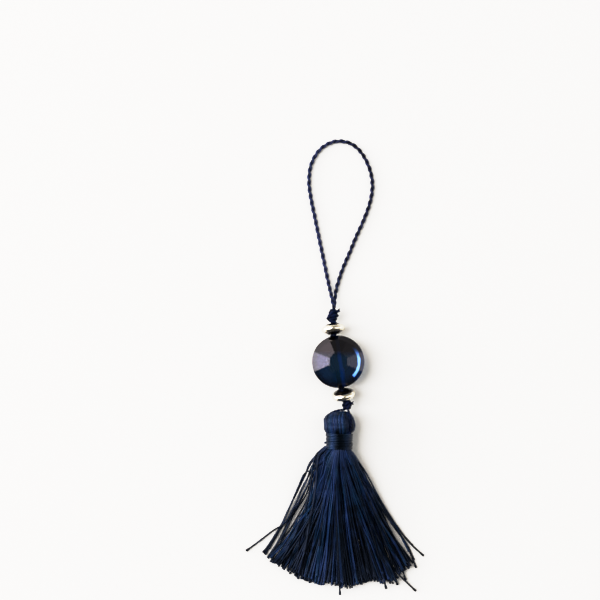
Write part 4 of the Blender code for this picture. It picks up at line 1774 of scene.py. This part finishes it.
@dataclass
class Binding:
    """Thread wound round the neck, with a knotted end."""

    top: float = -21.75             # millimetres, as are the other sizes here
    bottom: float = -27.0
    middle: Pair = (0.33, 4.13)
    width: float = 8.3
    depth: float = 8.0
    turns: int = 10
    points_per_turn: int = 36
    thread: float = 0.54            # the thread's radius as a share of the turns' pitch
    uneven: float = 0.14            # how far a turn stands out or in
    drift: float = 0.16             # how far it slides along the neck, as a share of the pitch
    changes: tuple[int, int] = (3, 2)   # of each in one turn
    girth: float = 26.0             # round the neck
    seed: int = 5
    # the knotted end: its middle, then the way to its two ends, and its three radii
    thread_end: Triple = (-4.05, -24.75, 4.2)
    end_ways: tuple[Triple, ...] = ((0.5, 0.25, 0.0), (-0.12, -0.2, 0.0))
    end_radii: Triple = (0.26 * MM, 0.36 * MM, 0.12 * MM)
    # places from left to right on the upper side, and how light the thread is painted there: a
    # painted highlight left of the middle, painted shade at both edges and in the middle, and a
    # weaker painted highlight on the right
    tone_across: tuple[Pair, ...] = (
        (-3.9, 0.05), (-3.1, 0.25), (-2.5, 0.85), (-1.8, 0.9), (-1.2, 0.45), (-0.6, 0.0),
        (1.3, 0.0), (2.0, 0.28), (3.4, 0.3), (4.3, 0.05))
    upper_side: Pair = (3.0, 5.0)   # heights at which it begins and is all there is
    under_tone: float = 0.35        # how light the thread is below it

    def build(self, material: bpy.types.Material) -> None:
        """Wind, knot and dress the thread.

        Args:
            material: The thread's finish.
        """
        pitch = (self.top - self.bottom) / (self.turns + 1)
        radius = pitch * self.thread
        chance = random.Random(self.seed)
        steps = self.turns * self.points_per_turn
        stands, slides = (self.turns * count + 1 for count in self.changes)
        knots = [chance.uniform(-self.uneven, self.uneven) for _ in range(stands)]
        drift = [chance.uniform(-self.drift, self.drift) * pitch for _ in range(slides)]
        points = []
        for step in range(steps + 1):
            turn = FULL_TURN * step / self.points_per_turn
            out = float(np.interp(step / steps, np.linspace(0.0, 1.0, len(knots)), knots)) - radius
            y = (self.top - pitch * (0.5 + step / self.points_per_turn)
                 + float(np.interp(step / steps, np.linspace(0.0, 1.0, len(drift)), drift)))
            points.append(Vector((self.middle[0] - (self.width / 2 + out) * math.cos(turn), y,
                                  self.middle[1] + (self.depth / 2 + out) * math.sin(turn)))
                          * MM)
        thread = Tube(points, [radius * MM] * len(points))
        winding = curve_to_mesh("neck_winding", [thread], sides=8)
        scale_uv(winding, self.turns * self.girth, FULL_TURN * radius)
        end = Vector(self.thread_end) * MM
        start, finish = millimetres(self.end_ways)
        knot = Tube([end + start, end, end + finish], list(self.end_radii))
        nub = curve_to_mesh("thread_nub", [knot], sides=8)
        scale_uv(nub, 1.0, 2.0)
        binding = join("neck_binding", [winding, nub])
        # painted highlight and painted shade across the upper side; below it the thread is one even
        # tone
        places = point_places(binding) / MM
        upper = np.interp(places[:, 2], self.upper_side, (0.0, 1.0))
        tone = (np.interp(places[:, 0], *zip(*self.tone_across)) * upper
                + self.under_tone * (1.0 - upper))
        set_attribute(binding, "tone", tone)
        smooth(binding, 60.0)
        dress(binding, material, "binding")


# ---------------------------------------------------------------- studio


@dataclass(frozen=True)
class Softbox:
    """A large soft light that looks at the charm.

    Attributes:
        name: Its name.
        azimuth: Where it stands, from +X towards +Y, in degrees.
        zenith: Its angle from straight up, in degrees.
        distance: Metres from the charm.
        size: Width and height, in metres.
        glow: Radiance in the same unit as the world's.
        tint: Its colour.
    """

    name: str
    azimuth: float
    zenith: float
    distance: float
    size: Pair
    glow: float
    tint: str = "#ffffff"

    def build(self) -> None:
        """Add the light."""
        azimuth, zenith = math.radians(self.azimuth), math.radians(self.zenith)
        place = Vector((math.sin(zenith) * math.cos(azimuth),
                        math.sin(zenith) * math.sin(azimuth), math.cos(zenith))) * self.distance
        lamp = bpy.data.lights.new(self.name, "AREA")
        lamp.shape = "RECTANGLE"
        lamp.size, lamp.size_y = self.size
        # radiance of a one-sided lambert emitter: power / (area * pi)
        lamp.energy = self.glow * self.size[0] * self.size[1] * math.pi
        lamp.color = srgb(self.tint)[:3]
        light = bpy.data.objects.new(self.name, lamp)
        light.location = place
        light.rotation_euler = place.to_track_quat("Z", "Y").to_euler()
        bpy.context.collection.objects.link(light)


@dataclass
class Studio:
    """Plain pale floor, soft lights and the camera over the charm."""

    softboxes: tuple[Softbox, ...] = (
        Softbox("window_left", 176.0, 50.0, 3.0, (1.3, 3.8), 4.9, "#fffcfc"),
        Softbox("window_sill", 182.0, 79.0, 3.0, (2.4, 0.9), 3.8, "#fffdfa"),
        Softbox("curtain_left", 131.0, 40.0, 3.0, (1.2, 2.2), 1.8, "#fff3ea"),
        Softbox("curtain_foot", 134.0, 81.0, 3.0, (2.6, 0.9), 1.15, "#fff6ee"),
        Softbox("wall_right", 3.0, 53.0, 3.0, (2.6, 4.2), 0.72, "#fffaf6"),
    )
    # how film answers to light: mid tones lifted, the brightest held back
    film: tuple[Pair, ...] = (
        (0.1, 0.1), (0.2, 0.215), (0.3, 0.4), (0.4, 0.635), (0.5, 0.785), (0.65, 0.885),
        (0.8, 0.935), (0.93, 0.964), (1.0, 0.98))
    paint: str = "#f9f8f1"          # colour of the room
    walls: float = 0.7              # radiance of the room near the horizon
    ceiling: float = 0.46
    shaded: float = 0.1             # share left of it on the -Y side, where someone stands
    far_side: float = 0.5           # share left of it on the +Y side
    overhead: float = 0.25          # share left of it straight above, at the camera
    # between which heights, or which Y, of the direction each of the four changes
    ceiling_at: Pair = (0.0, 0.85)
    shaded_at: Pair = (-0.5, -0.05)
    far_side_at: Pair = (0.1, 0.7)
    overhead_at: Pair = (0.99, 0.965)
    camera_place: Triple = (-0.01166853, -0.00887933, 0.35889024)
    camera_tilt: float = math.radians(4.5)
    lens: float = 69.2
    floor_size: float = 6.0

    def camera(self) -> None:
        """Add the camera and make it the scene's."""
        camera = bpy.data.objects.new("camera", bpy.data.cameras.new("camera"))
        camera.data.lens = self.lens
        camera.data.sensor_width = 36.0
        camera.data.clip_start = 0.005
        camera.location = self.camera_place
        camera.rotation_euler = (self.camera_tilt, 0.0, 0.0)
        bpy.context.collection.objects.link(camera)
        bpy.context.scene.camera = camera

    def build(self, material: bpy.types.Material) -> None:
        """Add the floor, the lights and the dim room round them.

        Args:
            material: The floor's finish.
        """
        deselect_all()
        bpy.ops.mesh.primitive_plane_add(size=self.floor_size)
        floor = bpy.context.object
        floor.name = floor.data.name = "floor"
        floor.data.materials.append(material)
        floor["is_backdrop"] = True
        for softbox in self.softboxes:
            softbox.build()
        self.room()
        view = bpy.context.scene.view_settings
        view.view_transform = "Standard"
        view.use_curve_mapping = True
        curve = view.curve_mapping.curves[3]
        curve.points[-1].location = self.film[-1]
        for level, answer in self.film[:-1]:
            curve.points.new(level, answer)
        view.curve_mapping.update()

    def room(self) -> None:
        """Surround the set with a plain room: pale walls, a dimmer ceiling, one dark side."""
        world = bpy.data.worlds.new("room")
        world.use_nodes = True
        add = partial(add_node, world)
        direction = add("TexCoord")
        axes = add("SeparateXYZ", links={0: (direction, "Generated")})
        lit = product(
            world, fade(world, (axes, "Z"), *self.ceiling_at, self.walls, self.ceiling),
            fade(world, (axes, "Y"), *self.shaded_at, self.shaded, 1.0),
            fade(world, (axes, "Z"), *self.overhead_at, self.overhead, 1.0),
            fade(world, (axes, "Y"), *self.far_side_at, 1.0, self.far_side))
        world.node_tree.nodes["Background"].inputs["Color"].default_value = srgb(self.paint)
        feed(world, "Background", {"Strength": lit})
        bpy.context.scene.world = world


# ---------------------------------------------------------------- the whole charm


def build_charm() -> None:
    """Build every sub-assembly in order."""
    cord_finish = SpunRayon("twisted_rayon_cord", "#02030a", "#363c68", 0.5, 0.09, 5.0, 0.05,
                            gloss=0.25, glint="#c4ccff", cast="#c8ecec")
    # a darker, less glossy copy of the cord's finish, standing in for shade: painted shade on the
    # knots, the core cords and the tie legs
    knot_finish = SpunRayon("painted_shade_rayon_cord", "#010205", "#222f60", 0.5, 0.09, 5.0, 0.08,
                            gloss=0.16, cast="#90e0d8")
    yarn_finish = SpunRayon("rayon_floss", "#020508", "#243a6a", 0.34, 0.08, 9.0, 0.04,
                            gloss=0.47, glint="#a0b8f4")
    thread_finish = SpunRayon("rayon_binding_thread", "#010406", "#20365c", 0.22, 0.08, 12.0, 0.03,
                              gloss=0.5, glint="#9cb8f0")
    cord, painted_shade_cord = cord_finish.build(), knot_finish.build()
    yarn, thread = yarn_finish.build(), thread_finish.build()
    crystal, ground = CutCrystal().build(), GroundCrystal().build()
    silver = PlatedAlloy().build()

    studio = Studio()
    studio.camera()
    HangingCord(PliedCord(1.2 * MM, kink=0.08 * MM)).build(cord)

    bead = CoinBead()
    # the saucers hang a little to the left on their cords
    upper = Spacer("spacer_above_bead", "upper_spacer", Vector((-1.47, 10.15, 3.8)) * MM,
                   math.radians(8.0), math.radians(1.0))
    lower = Spacer("spacer_below_bead", "lower_spacer", Vector((1.7, -10.1, 3.8)) * MM,
                   math.radians(12.0), math.radians(-19.0))
    knot_cord = PliedCord(1.1 * MM, groove=0.22 * MM, lay=2.9 * MM, crest_tone=0.5)
    Knot("knot_above_bead", "upper_knot", Vector((-1.6, 14.2, 3.5)) * MM, 4.4 * MM, 3.5 * MM,
         math.radians(-24.0), 1.8, math.radians(40.0), Vector((0.1, 15.75, 4.3)) * MM,
         knot_cord, tuple(millimetres(((-1.22, 16.85, 4.1), (-1.02, 17.3, 2.6),
                                       (-1.7, 11.8, 3.78), (-0.75, 11.8, 3.78))))).build(painted_shade_cord)
    Knot("knot_below_bead", "lower_knot", Vector((2.7, -13.3, 3.7)) * MM, 2.9 * MM, 3.2 * MM,
         math.radians(14.0), 1.5, math.radians(200.0), Vector((4.1, -12.7, 4.3)) * MM,
         knot_cord, tuple(millimetres(((1.64, -11.8, 3.78), (2.6, -11.8, 3.78))))).build(painted_shade_cord)
    # no light on the core cords' crests: painted shade where they run through the spacers and the
    # bead
    core_cord = PliedCord(1.06 * MM, groove=0.14 * MM, lay=2.7 * MM, crest_tone=0.0)
    CoreCords(core_cord, bead.hole_lean, bead.diameter / 2, bead.middle,
              *millimetres(((-1.12, 10.15, 3.8), (1.92, -10.3, 3.8)))).build(painted_shade_cord)
    tie_cord = PliedCord(0.65 * MM, groove=0.1 * MM, lay=2.2 * MM, crest_tone=0.45)
    HeadTies(tie_cord).build(painted_shade_cord)
    bead.build(crystal, ground)
    upper.build(silver)
    lower.build(silver)
    TasselHead().build(yarn)
    Skirt().build(yarn)
    Binding().build(thread)
    studio.build(CoatedBoard().build())


def corners(box: tuple[Vector, Vector]) -> list[list[float]]:
    """Turn a box into plain lists of numbers."""
    return [[float(value) for value in corner] for corner in box]


def main() -> None:
    """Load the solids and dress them."""
    logging.basicConfig(level=logging.INFO, format="%(name)s: %(message)s")
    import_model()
    solid_box = corners(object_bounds())
    deselect_all()
    build_charm()
    {"solids": solid_box, "dressed": corners(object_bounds())}


if __name__ == "__main__":
    main()
